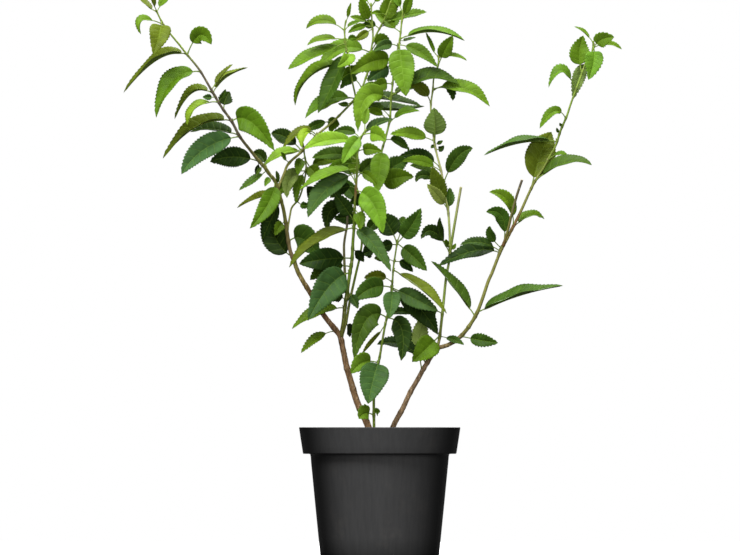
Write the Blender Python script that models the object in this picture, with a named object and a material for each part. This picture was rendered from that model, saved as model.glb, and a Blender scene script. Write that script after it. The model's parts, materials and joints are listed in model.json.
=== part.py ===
"""A forsythia about half a metre tall in a plain black nursery pot.

The plant is traced from a front view. Places on it are written as points of that view, in pixels
across and down, with the distance towards the viewer in millimetres. SCALE turns pixels into
metres. The origin is the centre of the pot's underside, +Z is up and the viewer looks along +Y.
"""

import math
import random
from collections import namedtuple

import bmesh
import bpy
from mathutils import Matrix, Vector
from mathutils.bvhtree import BVHTree

MM = 0.001
GAP = 0.3 * MM

# The pot, a round 3 litre nursery pot.
POT_HEIGHT = 151 * MM
RIM_RADIUS = 95 * MM
BAND_FOOT_RADIUS = 90.3 * MM
BAND_HEIGHT = 31.4 * MM
SHOULDER_RADIUS = 81.7 * MM
FOOT_RADIUS = 70 * MM
WALL = 1.8 * MM
FLOOR_THICKNESS = 2.5 * MM
EDGE_ROUND = 1.2 * MM
POT_SIDES = 36
DRAIN_HOLES = 8
DRAIN_HOLE_SIDES = 8
DRAIN_HOLE_RADIUS = 6 * MM
DRAIN_RING_RADIUS = 52 * MM

# The soil that fills the pot.
SOIL_BELOW_RIM = 12 * MM
SOIL_LUMP = 1.4 * MM
SOIL_RINGS = (30 * MM, 60 * MM)
SOIL_SEED = 5

# The front view: the pot's axis, the line that it stands on, and the size of one pixel there.
RIM_WIDTH_PIXELS = 161.5
SCALE = 2 * RIM_RADIUS / RIM_WIDTH_PIXELS
AXIS_X = 379.7
GROUND_Y = 555.6
SPREAD = 1.5

# Stems.
STEM_SIDES = 5
TRUNK_SIDES = 8
STEM_STEP = 18 * MM
TRACE_STEP = 2 * MM

# Leaves.
BEND_NEAR_SHARE = 0.74
LENGTH_STEPS = 12
ROOT_DEPTH_SHARE = 0.4
EDGE_BASE_POWER = 0.56
EDGE_TIP_POWER = 0.95
WIDEST_STATION = 0.37
LEAST_SINE_SQUARED = 0.05
LEAST_CROSS = 0.05
PETIOLE_LENGTH = 11 * MM
PETIOLE_SHARE_MOST = 0.28
PETIOLE_HALF_WIDTH = 0.75 * MM
ROOT_HALF_WIDTH = 0.5 * MM
RIB_HALF_THICKNESS = 0.7 * MM
TIP_HALF_THICKNESS = 0.35 * MM
SLIMMEST_BLADE = 0.34
FOLD = math.radians(20)
RIB_STATIONS = (0.34, 0.68)
SHOULDER_STATION = 0.09
TEETH_START = 0.2
TEETH_END = 0.93
TOOTH_LEAN = 0.78
TOOTH_OUT = 1.05
TOOTH_IN = 0.9
LONG_LEAF = 62 * MM
SHORT_LEAF = 27 * MM

# Room kept round each blade that is placed, and the turns tried until it is clear.
CLEARANCE = 0.9 * MM
SWINGS = (0, 8, -8, 16, -16, 24, -24, 32, -32, 42, -42, 54, -54, 68, -68)
ROLLS = (0, 14, -14, 28, -28)

TO_VIEWER = Vector((0, -1, 0))
SOLVER = "EXACT"

# A stem follows its points of the view: x, y and millimetres towards the viewer before SPREAD.
Stem = namedtuple("Stem", "name node parent thick_mm thin_mm points")

STEMS = (
    Stem("left_trunk", "left_trunk", None, 8.8, 5.0, (
        (372, 468, 0), (371, 445, 0), (368, 426, 0), (357.5, 403, 0), (351, 382, 1), (346.5, 366, 2),
        (343, 349, 3), (340, 336, 4), (334, 328, 5), (323, 314, 4), (309, 291, 1), (299, 274, -2),
        (294.5, 262, -3))),
    Stem("arch", "arch_shoot", "left_trunk", 4.8, 1.9, (
        (294.5, 262, -3), (290, 250, -2), (287, 232, 2), (284, 212, 7), (281, 200, 10),
        (278, 190, 12), (275, 181, 14), (270, 175, 16), (265, 168, 18), (258, 160, 20),
        (250, 150, 24), (240, 137, 29), (232, 122, 33), (222, 108, 38), (213, 93, 42),
        (200, 71, 48), (187, 55, 52), (180, 46, 54), (170, 34, 57), (163, 24, 59), (157, 12, 61))),
    Stem("sprig", "arch_shoot", "arch", 2.4, 1.8, (
        (287.5, 230, 3), (290, 215, -6), (292, 207, -10), (299, 198, -14), (304, 182, -18),
        (306, 166, -20), (304, 152, -21), (303, 143, -20))),
    Stem("side", "upper_left_shoot", "arch", 3.2, 1.9, (
        (278, 188, 12), (284, 174, 5), (287, 166, 1), (292, 160, -3), (300, 153, -7),
        (309, 143, -12), (319, 133, -17), (332, 122, -24), (344, 110, -30), (356, 97, -36),
        (362, 87, -40), (366, 76, -43), (369, 66, -45), (371, 50, -47), (373, 36, -48),
        (372, 20, -48), (371, 2, -47))),
    Stem("upright", "upper_left_shoot", "side", 2.2, 1.8, (
        (356, 97, -36), (352.5, 82, -30), (349.5, 64, -25), (346, 46, -22), (344.5, 30, -20),
        (346, 20, -19))),
    Stem("crown", "upper_left_shoot", "side", 2.2, 1.8, (
        (372.5, 42, -48), (376, 34, -46), (381, 25, -42), (386, 14, -39), (391, 0, -36))),
    Stem("central", "central_shoot", "left_trunk", 5.0, 2.0, (
        (341, 336, 4), (343.5, 322, 9), (344.5, 311, 10), (347, 293, 11), (350, 273, 12),
        (352, 260, 13), (353, 241, 14), (354, 228, 15), (354.5, 209, 16), (356, 189, 17),
        (357, 171, 16), (358, 147, 14), (361, 138, 13), (366, 130, 12))),
    Stem("slender", "upper_right_shoot", "central", 2.9, 1.9, (
        (354, 226, 15), (361, 214, 6), (369, 201, -2), (375, 188, -8), (379, 168, -12),
        (382, 150, -15), (386, 136, -18), (390, 118, -21), (391, 100, -24), (392.5, 85, -26),
        (394, 71, -28), (398, 48, -31), (400, 38, -32), (402, 19, -33), (404, 2, -33))),
    Stem("back", "back_shoot", "left_trunk", 3.6, 1.9, (
        (341, 339, 4), (346, 322, -8), (350, 300, -14), (356, 273, -18), (360, 256, -21),
        (362, 242, -24), (364, 226, -28), (361, 205, -33), (355, 180, -38))),
    Stem("back_stub", "back_shoot", "back", 3.6, 2.6, (
        (350, 300, -14), (345.5, 280, -18), (344, 251, -22), (344.5, 240, -23), (347, 225, -24),
        (347.5, 212, -25))),
    Stem("middle", "middle_shoot", None, 3.8, 1.9, (
        (373, 462, 9), (374, 440, 9), (374, 426, 10), (374, 394, 11), (377, 370, 11),
        (379.5, 358, 11), (382, 343, 11), (385, 326, 10), (388, 312, 9), (392, 286, 8),
        (393.5, 267, 6), (396, 250, 4), (397.5, 240, 3))),
    Stem("right_trunk", "right_trunk", None, 6.8, 4.6, (
        (386, 468, -4), (389, 445, -5), (393.5, 426, -6), (402.5, 409, -6), (410, 393, -5),
        (418, 379, -4), (424, 368, -3), (431.5, 356, -2), (437, 348.5, -1), (443, 346.5, 0),
        (449, 344.5, 1), (457, 339.5, 2), (463, 334, 3), (468, 328, 4))),
    Stem("inner", "right_inner_shoot", "right_trunk", 3.6, 1.8, (
        (437, 348.5, -1), (439.5, 338, -3), (442, 317, -6), (444, 298, -9), (446, 279, -12),
        (449, 262, -15), (450, 250, -17), (449.5, 228, -19), (448, 209, -21), (445, 196, -22),
        (442, 174, -24), (437, 154, -26), (434.5, 142, -27), (432, 122, -29), (431, 105, -30),
        (433, 89, -31), (434, 77, -32), (438, 66, -32), (439, 52, -32))),
    Stem("inner_stub", "right_inner_shoot", "inner", 3.4, 3.1, (
        (450, 252, -17), (452, 240, -14), (455, 222, -10), (461, 187, -4))),
    Stem("outer", "right_outer_shoot", "right_trunk", 4.4, 1.9, (
        (468, 328, 4), (476, 315, 5), (482, 300, 4), (488, 282, 1), (492, 273, -1),
        (497, 260, -4), (501, 250, -6), (507, 239, -10), (513, 227, -13), (521, 211, -17),
        (531, 189, -22), (537, 178, -24), (544, 167, -27), (549, 158, -29), (556, 145, -32),
        (561, 130, -35), (567, 116, -38), (571, 104, -41), (576, 90, -44), (581, 77, -47),
        (586, 63, -50), (593, 50, -53), (594, 40, -54))),
    Stem("outer_stub", "right_outer_shoot", "outer", 3.4, 3.0, (
        (503, 246, -7), (508, 230, -3), (512, 213, 1), (517, 195, 5), (522, 180, 8))),
)

# A leaf grows from the point of its stem nearest to its root, heads for its bend and ends at its
# tip, along a parabola. seen is the blade's widest width in the view, in pixels, with a minus where the
# view shows its underside. near is how many millimetres nearer to the viewer the tip is.
Leaf = namedtuple("Leaf", "root_x root_y bend_x bend_y tip_x tip_y seen near")

LEAVES = {
    "arch": (
        (157, 13, 148, 7, 134, -9, 5, -20), (157, 13, 155, 5, 149, -16, 5, 12),
        (157, 13, 161, 3, 176, -12, 8, -16), (164, 25, 134, 10, 142, 36, 7, 20),
        (163, 22, 163, 29, 154, 57, 21, 16), (187, 56, 199, 23, 212, 46, 17, 14),
        (187, 56, 160, 40, 124, 94, 5, -16), (200, 72, 166, 66, 157, 119, 16, 20),
        (214, 90, 219, 75, 233, 65, 4, -20), (214, 93, 219, 73, 248, 68, 3, -34),
        (214, 94, 190, 75, 175, 120, 6, -18), (219, 102, 190, 98, 188, 127, 7, 28),
        (216, 98, 209, 98, 203, 98, 6, 12), (222, 111, 224, 100, 230, 92, 14, -10),
        (231, 121, 194, 109, 163, 159, 9, -26),
        (239, 136, 211, 122, 190, 132, 9, -42), (240, 138, 202, 140, 182, 175, 22, 26),
        (258, 162, 232, 152, 210, 162, 20, -20), (232, 122, 247, 107, 275, 152, 25, 20),
        (268, 172, 262, 150, 253, 154, 12, -20),
        (268, 170, 258, 176, 239, 191, 7, 16), (272, 177, 268, 178, 265, 187, 6, 14),
        (279, 194, 258, 191, 237, 208, 6, -24), (276, 180, 276, 200, 250, 229, 18, 24),
        (291, 256, 271, 244, 266, 204, 26, -24), (285, 221, 280, 222, 275, 236, 10, 16),
        (287, 243, 300, 228, 319, 256, 28, -14), (281, 200, 272, 214, 262, 240, 14, -40),
        (260, 162, 258, 168, 256, 175, 5, -14),
    ),
    "sprig": (
        (304, 182, 286, 176, 275, 196, 14, -34), (303, 170, 285, 168, 287, 198, 14, 24),
        (306, 168, 322, 156, 340, 158, 11, -22), (304, 184, 313, 190, 318, 205, 12, -40),
        (303, 146, 300, 136, 297, 126, 8, -16), (303, 150, 292, 148, 281, 157, 7, 30),
        (305, 160, 312, 172, 322, 178, 14, 20), (296, 201, 303, 208, 310, 203, 7, 14),
        (305, 170, 297, 176, 296, 204, 9, 8), (305, 156, 299, 158, 298, 175, 10, 24),
    ),
    "side": (
        (317, 135, 304, 118, 282, 149, 8, 10), (316, 136, 302, 122, 302, 148, 9, 24),
        (301, 151, 286, 132, 271, 133, 15, -26), (301, 152, 285, 143, 262, 168, 8, 20),
        (289, 163, 284, 158, 281, 152, 4, 10), (333, 121, 318, 121, 303, 131, 9, -14),
        (338, 115, 334, 118, 330, 132, 12, -12),
        (356, 98, 328, 88, 305, 118, 13, 20), (356, 98, 335, 92, 318, 111, 9, -26),
        (352, 101, 345, 105, 338, 103, 5, 14), (357, 96, 388, 93, 421, 105, 7, -16),
        (352, 101, 387, 110, 425, 105, 7, -34), (362, 87, 352, 68, 340, 88, 10, -14),
        (371, 51, 338, 32, 317, 72, 15, 16), (371, 51, 380, 31, 390, 43, 14, -16),
        (367, 70, 352, 66, 336, 80, 12, -34), (366, 76, 374, 84, 366, 101, 12, 26),
        (372, 26, 364, 12, 361, -5, 11, 12), (372, 22, 361, 17, 350, 15, 6, -12),
        (372, 25, 360, 22, 348, 32, 7, 12), (372, 27, 366, 32, 354, 40, 8, 22),
        (371, 6, 364, -6, 356, -12, 8, -10), (371, 5, 379, -4, 384, -16, 8, 10),
    ),
    "upright": (
        (344.5, 30, 322, 9, 306, 28, 9, -10), (344.5, 39, 322, 33, 307, 45, 6, 12),
        (345, 42, 314, 50, 288, 69, 11, 16), (348.5, 60, 297, 63, 295, 105, 8, -16),
        (346, 48, 336, 76, 318, 113, 17, 12), (348, 50, 356, 54, 337, 67, 13, 20),
        (345, 30, 350, 21, 360, 21, 4, -10), (346, 22, 349, 13, 351, 2, 4, 6),
        (346, 42, 351, 34, 357, 38, 6, -24),
    ),
    "crown": (
        (381, 25, 388, 9, 397, -12, 17, 8), (383, 22, 403, 12, 427, 11, 9, 14),
        (379, 28, 372, 20, 362, 24, 9, -22), (381, 25, 393, 23, 400, 16, 9, -26),
        (387, 14, 379, 10, 371, 13, 5, 16), (390, 4, 396, -8, 406, -14, 8, -10),
    ),
    "central": (
        (350, 273, 330, 276, 308, 321, 29, 26), (344.5, 308, 318, 304, 292, 329, 11, -12),
        (354, 228, 316, 230, 289, 268, 10, 22), (351, 258, 325, 257, 299, 264, 22, -18),
        (346, 300, 340, 294, 331, 301, 9, -14), (348, 292, 354, 298, 358, 309, 9, 16),
        (356, 228, 368, 230, 391, 272, 16, 22), (354, 222, 346, 208, 333, 192, 15, 14),
        (353, 215, 324, 196, 327, 230, 17, -20), (355, 210, 361, 214, 360, 230, 12, 18),
        (356, 190, 374, 192, 383, 234, 24, 28), (356, 189, 343, 182, 330, 198, 12, -26),
        (357, 172, 320, 183, 308, 218, 19, 26), (357, 170, 330, 166, 299, 191, 9, 10),
        (357, 173, 367, 171, 377, 186, 9, 12), (358, 160, 338, 148, 312, 158, 13, -22),
        (359, 141, 328, 133, 304, 150, 13, 20), (360, 138, 352, 126, 333, 132, 9, -14),
        (363, 135, 353, 141, 342, 165, 15, 32), (364, 136, 376, 130, 386, 142, 16, 18),
        (362, 138, 373, 120, 394, 119, 8, -18), (357, 152, 366, 147, 382, 152, 12, 12),
        (366, 131, 364, 118, 368, 108, 8, -12), (357, 163, 343, 160, 328, 168, 9, -40),
        (356, 190, 366, 198, 372, 214, 16, -36), (352, 250, 358, 252, 364, 262, 9, -34),
        (350, 266, 326, 262, 310, 280, 18, -30),
    ),
    "slender": (
        (401, 32, 388, 21, 375, 12, 10, -12), (401, 38, 432, 18, 465, 40, 5, -12),
        (399, 42, 401, 62, 406, 96, 25, 30), (399, 44, 418, 44, 438, 67, 12, 14),
        (398, 46, 388, 39, 373, 51, 10, 20),
        (396, 60, 376, 54, 350, 74, 20, 22), (395, 64, 384, 66, 367, 80, 16, -14),
        (394, 84, 384, 80, 368, 92, 13, 10), (392, 94, 427, 61, 460, 84, 12, -8),
        (391, 100, 360, 76, 358, 132, 20, 30), (390, 116, 378, 100, 369, 107, 6, 8),
        (389, 122, 377, 106, 366, 112, 8, 12), (389, 123, 399, 107, 420, 111, 7, 16),
        (383, 147, 380, 163, 377, 193, 19, 28), (377, 188, 394, 174, 414, 177, 20, 14),
        (378, 185, 392, 162, 409, 160, 19, -16), (402, 20, 408, 6, 411, -9, 9, 10),
        (403, 12, 398, 0, 392, -14, 8, -12), (391, 97, 402, 84, 414, 88, 6, -34),
        (369, 202, 360, 196, 350, 203, 12, -34), (385, 139, 398, 136, 410, 150, 9, -30),
    ),
    "back": (
        (363, 236, 372, 222, 385, 216, 12, -18), (362, 242, 368, 248, 370, 258, 10, -30),
        (359, 258, 366, 250, 375, 250, 9, -34), (351, 296, 338, 284, 322, 292, 14, -40),
        (361, 205, 350, 190, 340, 176, 14, -30), (356, 182, 346, 163, 332, 160, 10, -24),
        (355, 180, 366, 164, 378, 158, 14, -22), (363, 225, 350, 214, 334, 218, 13, -30),
        (347, 322, 350, 326, 350, 337, 7, -36), (355, 181, 352, 166, 356, 150, 12, -8),
    ),
    "middle": (
        (374, 416, 366, 409, 359, 419, 17, 12), (374, 413, 377, 411, 380, 412, 8, 6),
        (378, 363, 363, 356, 351, 374, 19, 20), (380, 358, 374, 374, 368, 404, 28, 18),
        (386, 317, 364, 299, 354, 360, 24, 16), (388, 318, 409, 318, 401, 361, 19, 14),
        (392, 287, 373, 281, 354, 301, 20, 12), (393, 282, 381, 272, 364, 278, 11, -16),
        (392, 286, 393, 298, 389, 319, 17, 26), (393, 287, 410, 296, 438, 311, 17, 16),
        (392, 289, 422, 302, 438, 335, 22, -16), (394, 271, 422, 281, 447, 314, 9, 22),
        (397, 243, 411, 230, 421, 208, 18, 8), (397, 243, 391, 226, 380, 213, 22, -12),
        (397, 243, 410, 252, 427, 271, 17, 16), (397, 245, 389, 243, 379, 250, 12, -18),
        (394, 262, 404, 260, 413, 272, 9, -10), (397, 242, 404, 224, 403, 216, 13, -30),
        (394, 262, 385, 256, 374, 258, 8, -30), (386, 320, 398, 306, 410, 314, 8, -30),
        (385, 324, 373, 340, 361, 355, 3, -8),
    ),
    "inner": (
        (440, 336, 429, 346, 412, 362, 23, 14), (440, 337, 452, 337, 464, 345, 7, 12),
        (443, 313, 432, 305, 420, 326, 15, -14), (449, 252, 432, 217, 421, 239, 13, 12),
        (447, 247, 435, 232, 440, 217, 7, 18), (449, 248, 446, 245, 446, 239, 5, 6),
        (450, 250, 454, 248, 456, 243, 4, -8), (448, 207, 438, 186, 432, 166, 15, 10),
        (448, 209, 441, 198, 427, 184, 11, 22), (449, 212, 450, 200, 450, 187, 10, -8),
        (446, 182, 455, 150, 473, 148, 16, 14), (444, 184, 427, 164, 410, 165, 7, -12),
        (444, 185, 420, 166, 416, 182, 9, 14), (440, 168, 424, 148, 399, 156, 13, -14),
        (441, 170, 424, 156, 402, 161, 10, 12), (434, 141, 413, 129, 390, 134, 12, 16),
        (434.5, 143, 436, 126, 434, 107, -22, -10), (436, 148, 441, 150, 444, 145, 6, 10),
        (431, 104, 427, 86, 406, 80, 12, 10), (433, 89, 466, 76, 490, 106, 13, 14),
        (433, 90, 455, 76, 453, 100, 10, -12), (438, 64, 444, 50, 453, 35, 14, 10),
        (438, 57, 431, 46, 426, 31, 4, -10), (439, 58, 453, 50, 467, 60, 4, 12),
    ),
    "outer": (
        (475, 317, 456, 280, 431, 261, 9, -18), (478, 313, 512, 288, 563, 286, 8, 20),
        (500, 251, 483, 236, 460, 245, 9, 14), (499, 253, 480, 240, 438, 266, 16, -16),
        (501, 248, 487, 236, 490, 226, 9, 8), (504, 244, 510, 206, 486, 212, 14, 12),
        (514, 226, 517, 193, 489, 192, 11, 14), (513, 229, 531, 204, 545, 219, 7, -14),
        (532, 187, 541, 146, 552, 131, 29, -12), (557, 141, 524, 131, 484, 155, 4, -22),
        (566, 117, 557, 97, 540, 128, 9, 14), (537, 181, 564, 149, 592, 165, 9, 15),
        (549, 160, 560, 147, 569, 157, 4, -10), (574, 88, 562, 50, 549, 87, 9, 12),
        (583, 72, 577, 52, 584, 34, 20, -10), (588, 58, 580, 68, 574, 98, 13, 8),
        (593, 44, 598, 54, 589, 79, 18, 14), (593, 48, 598, 36, 615, 36, 15, 10),
        (593, 47, 610, 36, 623, 48, 5, -14), (594, 42, 588, 29, 575, 25, 3, -6),
    ),
}

# A single leaf on bare wood is a piece of its own, seated on the trunk.
WOOD_LEAVES = (
    ("fork_leaf", "left_trunk", (336, 331, 316, 333, 301, 353, 9, 6)),
    ("tall_wood_leaf", "right_trunk", (421, 370, 416, 345, 424, 314, -18, -14)),
    ("low_wood_leaf", "right_trunk", (426, 363, 402, 334, 377, 344.5, 12, -18)),
    ("outer_wood_leaf", "right_trunk", (461, 336, 478, 340, 498, 343, 13, 12)),
)

COLOURS = {
    "pot": ((0.030, 0.030, 0.031), 0.48),
    "soil": ((0.045, 0.030, 0.020), 0.95),
    "bark": ((0.235, 0.135, 0.075), 0.80),
    "foliage": ((0.095, 0.215, 0.025), 0.42),
}


def clear_scene():
    for item in list(bpy.data.objects):
        bpy.data.objects.remove(item)


def finish_of(name):
    """The material of that name, made the first time it is asked for."""
    if name in bpy.data.materials:
        return bpy.data.materials[name]
    colour, roughness = COLOURS[name]
    material = bpy.data.materials.new(name)
    material.use_nodes = True
    shader = material.node_tree.nodes["Principled BSDF"]
    shader.inputs["Base Color"].default_value = (*colour, 1)
    shader.inputs["Roughness"].default_value = roughness
    shader.inputs["Metallic"].default_value = 0
    return material


def mesh_object(name, points, faces, finish):
    """A linked object from points and faces, with its faces turned outwards."""
    mesh = bpy.data.meshes.new(name)
    mesh.from_pydata([tuple(point) for point in points], [], faces)
    shape = bmesh.new()
    shape.from_mesh(mesh)
    bmesh.ops.recalc_face_normals(shape, faces=shape.faces)
    shape.to_mesh(mesh)
    shape.free()
    mesh.materials.append(finish_of(finish))
    item = bpy.data.objects.new(name, mesh)
    bpy.context.collection.objects.link(item)
    return item


def view_point(x, y, near_mm):
    """A point of the front view as a place in space."""
    return Vector(((x - AXIS_X) * SCALE, -near_mm * MM, (GROUND_Y - y) * SCALE))


def smooth_line(points, step):
    """Points along a Catmull-Rom curve through the given ones, about a step apart."""
    line = [points[0]]
    for i in range(len(points) - 1):
        before = points[max(i - 1, 0)]
        start, end = points[i], points[i + 1]
        after = points[min(i + 2, len(points) - 1)]
        count = max(1, round((end - start).length / step))
        for k in range(1, count + 1):
            t = k / count
            line.append(0.5 * (2 * start + (end - before) * t
                               + (2 * before - 5 * start + 4 * end - after) * t ** 2
                               + (3 * start - before - 3 * end + after) * t ** 3))
    return line


def ring_axes(line):
    """For each point of a line its direction and two directions across it, turning smoothly."""
    axes = []
    across = Vector((0, 1, 0))
    for i in range(len(line)):
        along = (line[min(i + 1, len(line) - 1)] - line[max(i - 1, 0)]).normalized()
        across = (across - across.dot(along) * along).normalized()
        axes.append((along, across, along.cross(across)))
    return axes


def tube(line, radii, sides):
    """Points and faces of a closed tube with flat ends."""
    points, faces = [], []
    for centre, radius, (_, across, over) in zip(line, radii, ring_axes(line)):
        for k in range(sides):
            turn = math.tau * (k + 0.5) / sides
            points.append(centre + radius * (math.cos(turn) * across + math.sin(turn) * over))
    for i in range(len(line) - 1):
        for k in range(sides):
            a, b = i * sides + k, i * sides + (k + 1) % sides
            faces.append((a, b, b + sides, a + sides))
    faces.append(tuple(range(sides))[::-1])
    faces.append(tuple(range((len(line) - 1) * sides, len(line) * sides)))
    return points, faces


def seat_distance(parent_radius, child_radius, parent_along, child_along):
    """How far out from the parent's middle a child's flat end starts to stay a gap clear of it."""
    lean = abs(parent_along.dot(child_along))
    return (parent_radius + GAP + child_radius * lean) / math.sqrt(max(1 - lean ** 2, LEAST_SINE_SQUARED))


class TracedStem:
    """A stem's middle line in space, its radius along it, and its coarse tube."""

    def __init__(self, stem, parents):
        self.name, self.node = stem.name, stem.node
        self.line = smooth_line([view_point(x, y, near * SPREAD) for x, y, near in stem.points],
                                TRACE_STEP)
        seated = stem.parent and parents[stem.parent].node != self.node
        if seated:
            self.seat_on(parents[stem.parent], stem.thick_mm * MM / 2)
        self.straighten(seated)
        last = len(self.line) - 1
        self.radii = [(stem.thick_mm + (stem.thin_mm - stem.thick_mm) * i / last) * MM / 2
                      for i in range(last + 1)]

    def straighten(self, seated):
        """Picks the points where the tube has its rings, and makes the line straight between them."""
        last = len(self.line) - 1
        count = max(2, round(last * TRACE_STEP / STEM_STEP))
        self.picks = [round(last * i / count) for i in range(count + 1)]
        if seated:
            self.picks.insert(1, 1)
        for a, b in zip(self.picks, self.picks[1:]):
            start, end = self.line[a], self.line[b]
            for i in range(a + 1, b):
                self.line[i] = start.lerp(end, (i - a) / (b - a))

    def seat_on(self, parent, radius):
        """Cuts the line back to where it starts on the parent's end or side."""
        root = self.line[0]
        if (root - parent.line[-1]).length < 2 * TRACE_STEP:
            along = (parent.line[-1] - parent.line[-2]).normalized()
            self.line[0] = parent.line[-1] + GAP * along
            self.line[1] = self.line[0] + TRACE_STEP * along
            return
        place, reach, parent_along = parent.nearest(root)
        along = (self.line[3] - self.line[0]).normalized()
        out = seat_distance(reach, radius, parent_along, along)
        while (self.line[0] - place).length < out:
            self.line.pop(0)
        along = (self.line[0] - place).normalized()
        self.line[0] = place + seat_distance(reach, radius, parent_along, along) * along
        self.line[1] = self.line[0] + TRACE_STEP * along

    def nearest(self, point):
        """The middle line's point that looks nearest in the front view, its radius and direction."""
        def apart(i):
            step = self.line[i] - point
            return step.x ** 2 + step.z ** 2

        i = min(range(len(self.line)), key=apart)
        ahead, behind = self.line[min(i + 1, len(self.line) - 1)], self.line[max(i - 1, 0)]
        radius = self.radii[i] if hasattr(self, "radii") else 0
        return self.line[i], radius, (ahead - behind).normalized()

    def solid(self, grow=0.0):
        """Points and faces of the coarse tube, wider by grow."""
        sides = TRUNK_SIDES if self.name.endswith("trunk") else STEM_SIDES
        return tube([self.line[i] for i in self.picks], [self.radii[i] + grow for i in self.picks],
                    sides)


class TracedLeaf:
    """A leaf's midrib, how wide it is and which way its upper face looks."""

    def __init__(self, leaf, stem, seated, swing_mm=0, roll=0.0):
        root, reach, stem_along = stem.nearest(view_point(leaf.root_x, leaf.root_y, 0))
        near = leaf.near + swing_mm
        seat_near = -root.y / MM
        tip = view_point(leaf.tip_x, leaf.tip_y, seat_near + near)
        bend = view_point(leaf.bend_x, leaf.bend_y, seat_near + BEND_NEAR_SHARE * near)
        along = (bend - root).normalized()
        if seated:
            root = root + seat_distance(reach, PETIOLE_HALF_WIDTH, stem_along, along) * along
        else:
            root = root - ROOT_DEPTH_SHARE * reach * along
        self.curve = (root, bend, tip)
        self.length = sum((self.at((i + 1) / LENGTH_STEPS) - self.at(i / LENGTH_STEPS)).length
                          for i in range(LENGTH_STEPS))
        self.petiole = min(PETIOLE_SHARE_MOST, PETIOLE_LENGTH / self.length)
        blade = self.length * (1 - self.petiole)
        seen = abs(leaf.seen) * SCALE
        self.width = max(seen, SLIMMEST_BLADE * blade)
        self.roll = math.asin(seen / self.width) * (1 if leaf.seen > 0 else -1) + roll
        self.lean = 1 if leaf.tip_x >= leaf.root_x else -1
        rise = self.width / 2 * math.sin(FOLD)
        self.curve = (root, bend - rise * self.axes(0.5)[1], tip)
        teeth = 4 if self.length > LONG_LEAF else 3
        self.teeth = teeth if self.length > SHORT_LEAF else 2

    def at(self, t):
        """The midrib's point at the share t of the way from the root to the tip."""
        root, bend, tip = self.curve
        return (1 - t) ** 2 * root + 2 * t * (1 - t) * bend + t ** 2 * tip

    def axes(self, t):
        """The midrib's direction, the way the upper face looks and the way across the blade."""
        root, bend, tip = self.curve
        along = ((1 - t) * (bend - root) + t * (tip - bend)).normalized()
        top = along.cross(TO_VIEWER) * -self.lean
        if top.length < LEAST_CROSS:
            top = Vector((0, 0, 1))
        top.normalize()
        front = top.cross(along).normalized()
        if front.dot(TO_VIEWER) < 0:
            front = -front
        face = (math.cos(self.roll) * top + math.sin(self.roll) * front).normalized()
        return along, face, along.cross(face)

    def half_width(self, s):
        """Half the blade's width at the share s of the blade."""
        def swell(share):
            return share ** EDGE_BASE_POWER * (1 - share) ** EDGE_TIP_POWER

        return max(PETIOLE_HALF_WIDTH, self.width / 2 * swell(s) / swell(WIDEST_STATION))

    def edge_stations(self):
        """The blade's edge from its base to the last tooth: share of the blade, width factor."""
        stations = [(0.0, 0.0), (SHOULDER_STATION, 1.0)]
        step = (TEETH_END - TEETH_START) / self.teeth
        for k in range(self.teeth):
            start = TEETH_START + k * step
            stations += [(start, TOOTH_IN), (start + TOOTH_LEAN * step, TOOTH_OUT)]
        return stations

    def solid(self, grow=0.0, bare_root=False):
        """Points and faces of the leaf: a thin stalk, and a blade with two folded halves whose
        top and bottom are split alike and meet in a toothed edge."""
        points, faces = [], []

        def put(t, out, up):
            along, face, across = self.axes(t)
            points.append(self.at(t) + out * across + up * face)
            return len(points) - 1

        rings = []
        for t, half in ((0.5 * self.petiole if bare_root else 0.0, ROOT_HALF_WIDTH + grow),
                        (self.petiole, PETIOLE_HALF_WIDTH + grow)):
            rings.append([put(t, -half, 0), put(t, 0, half), put(t, half, 0), put(t, 0, -half)])
        faces.append(tuple(rings[0]))
        for ring, after in zip(rings, rings[1:]):
            for k in range(4):
                faces.append((ring[k], ring[(k + 1) % 4], after[(k + 1) % 4], after[k]))

        def blade_t(s):
            return self.petiole + s * (1 - self.petiole)

        tip = put(1.0, 0, 0)
        if grow:
            points[tip] = points[tip] + grow * self.axes(1.0)[0]
        ribs = {}
        for side, start in ((1, rings[-1][1]), (-1, rings[-1][3])):
            ribs[side] = [(0.0, start)]
            for s in RIB_STATIONS:
                slim = RIB_HALF_THICKNESS + (TIP_HALF_THICKNESS - RIB_HALF_THICKNESS) * s + grow
                ribs[side].append((s, put(blade_t(s), 0, side * slim)))
            ribs[side].append((1.0, tip))
        edges = {}
        for hand, start in ((-1, rings[-1][0]), (1, rings[-1][2])):
            edges[hand] = [(0.0, start)]
            for s, factor in self.edge_stations()[1:]:
                reach = self.half_width(s) * factor + grow
                edges[hand].append((s, put(blade_t(s), hand * reach * math.cos(FOLD),
                                           reach * math.sin(FOLD))))
            edges[hand].append((1.0, tip))
        for rib in ribs.values():
            for edge in edges.values():
                faces += strip(rib, edge)
        return points, faces


def strip(rib, edge):
    """Triangles between two rows of (share, point) that start and end together."""
    faces = []
    i = j = 0
    while i < len(rib) - 1 or j < len(edge) - 1:
        rib_next = rib[i + 1][0] if i < len(rib) - 1 else math.inf
        edge_next = edge[j + 1][0] if j < len(edge) - 1 else math.inf
        if edge_next <= rib_next:
            corners = (rib[i][1], edge[j][1], edge[j + 1][1])
            j += 1
        else:
            corners = (rib[i][1], edge[j][1], rib[i + 1][1])
            i += 1
        if len(set(corners)) == 3:
            faces.append(corners)
    return faces


def tree_of(solid):
    points, faces = solid
    return BVHTree.FromPolygons(points, faces)


def crosses_itself(solid):
    """Whether two faces of a solid that share no corner meet."""
    faces = solid[1]
    tree = tree_of(solid)
    return any(a < b and not set(faces[a]) & set(faces[b]) for a, b in tree.overlap(tree))


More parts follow.
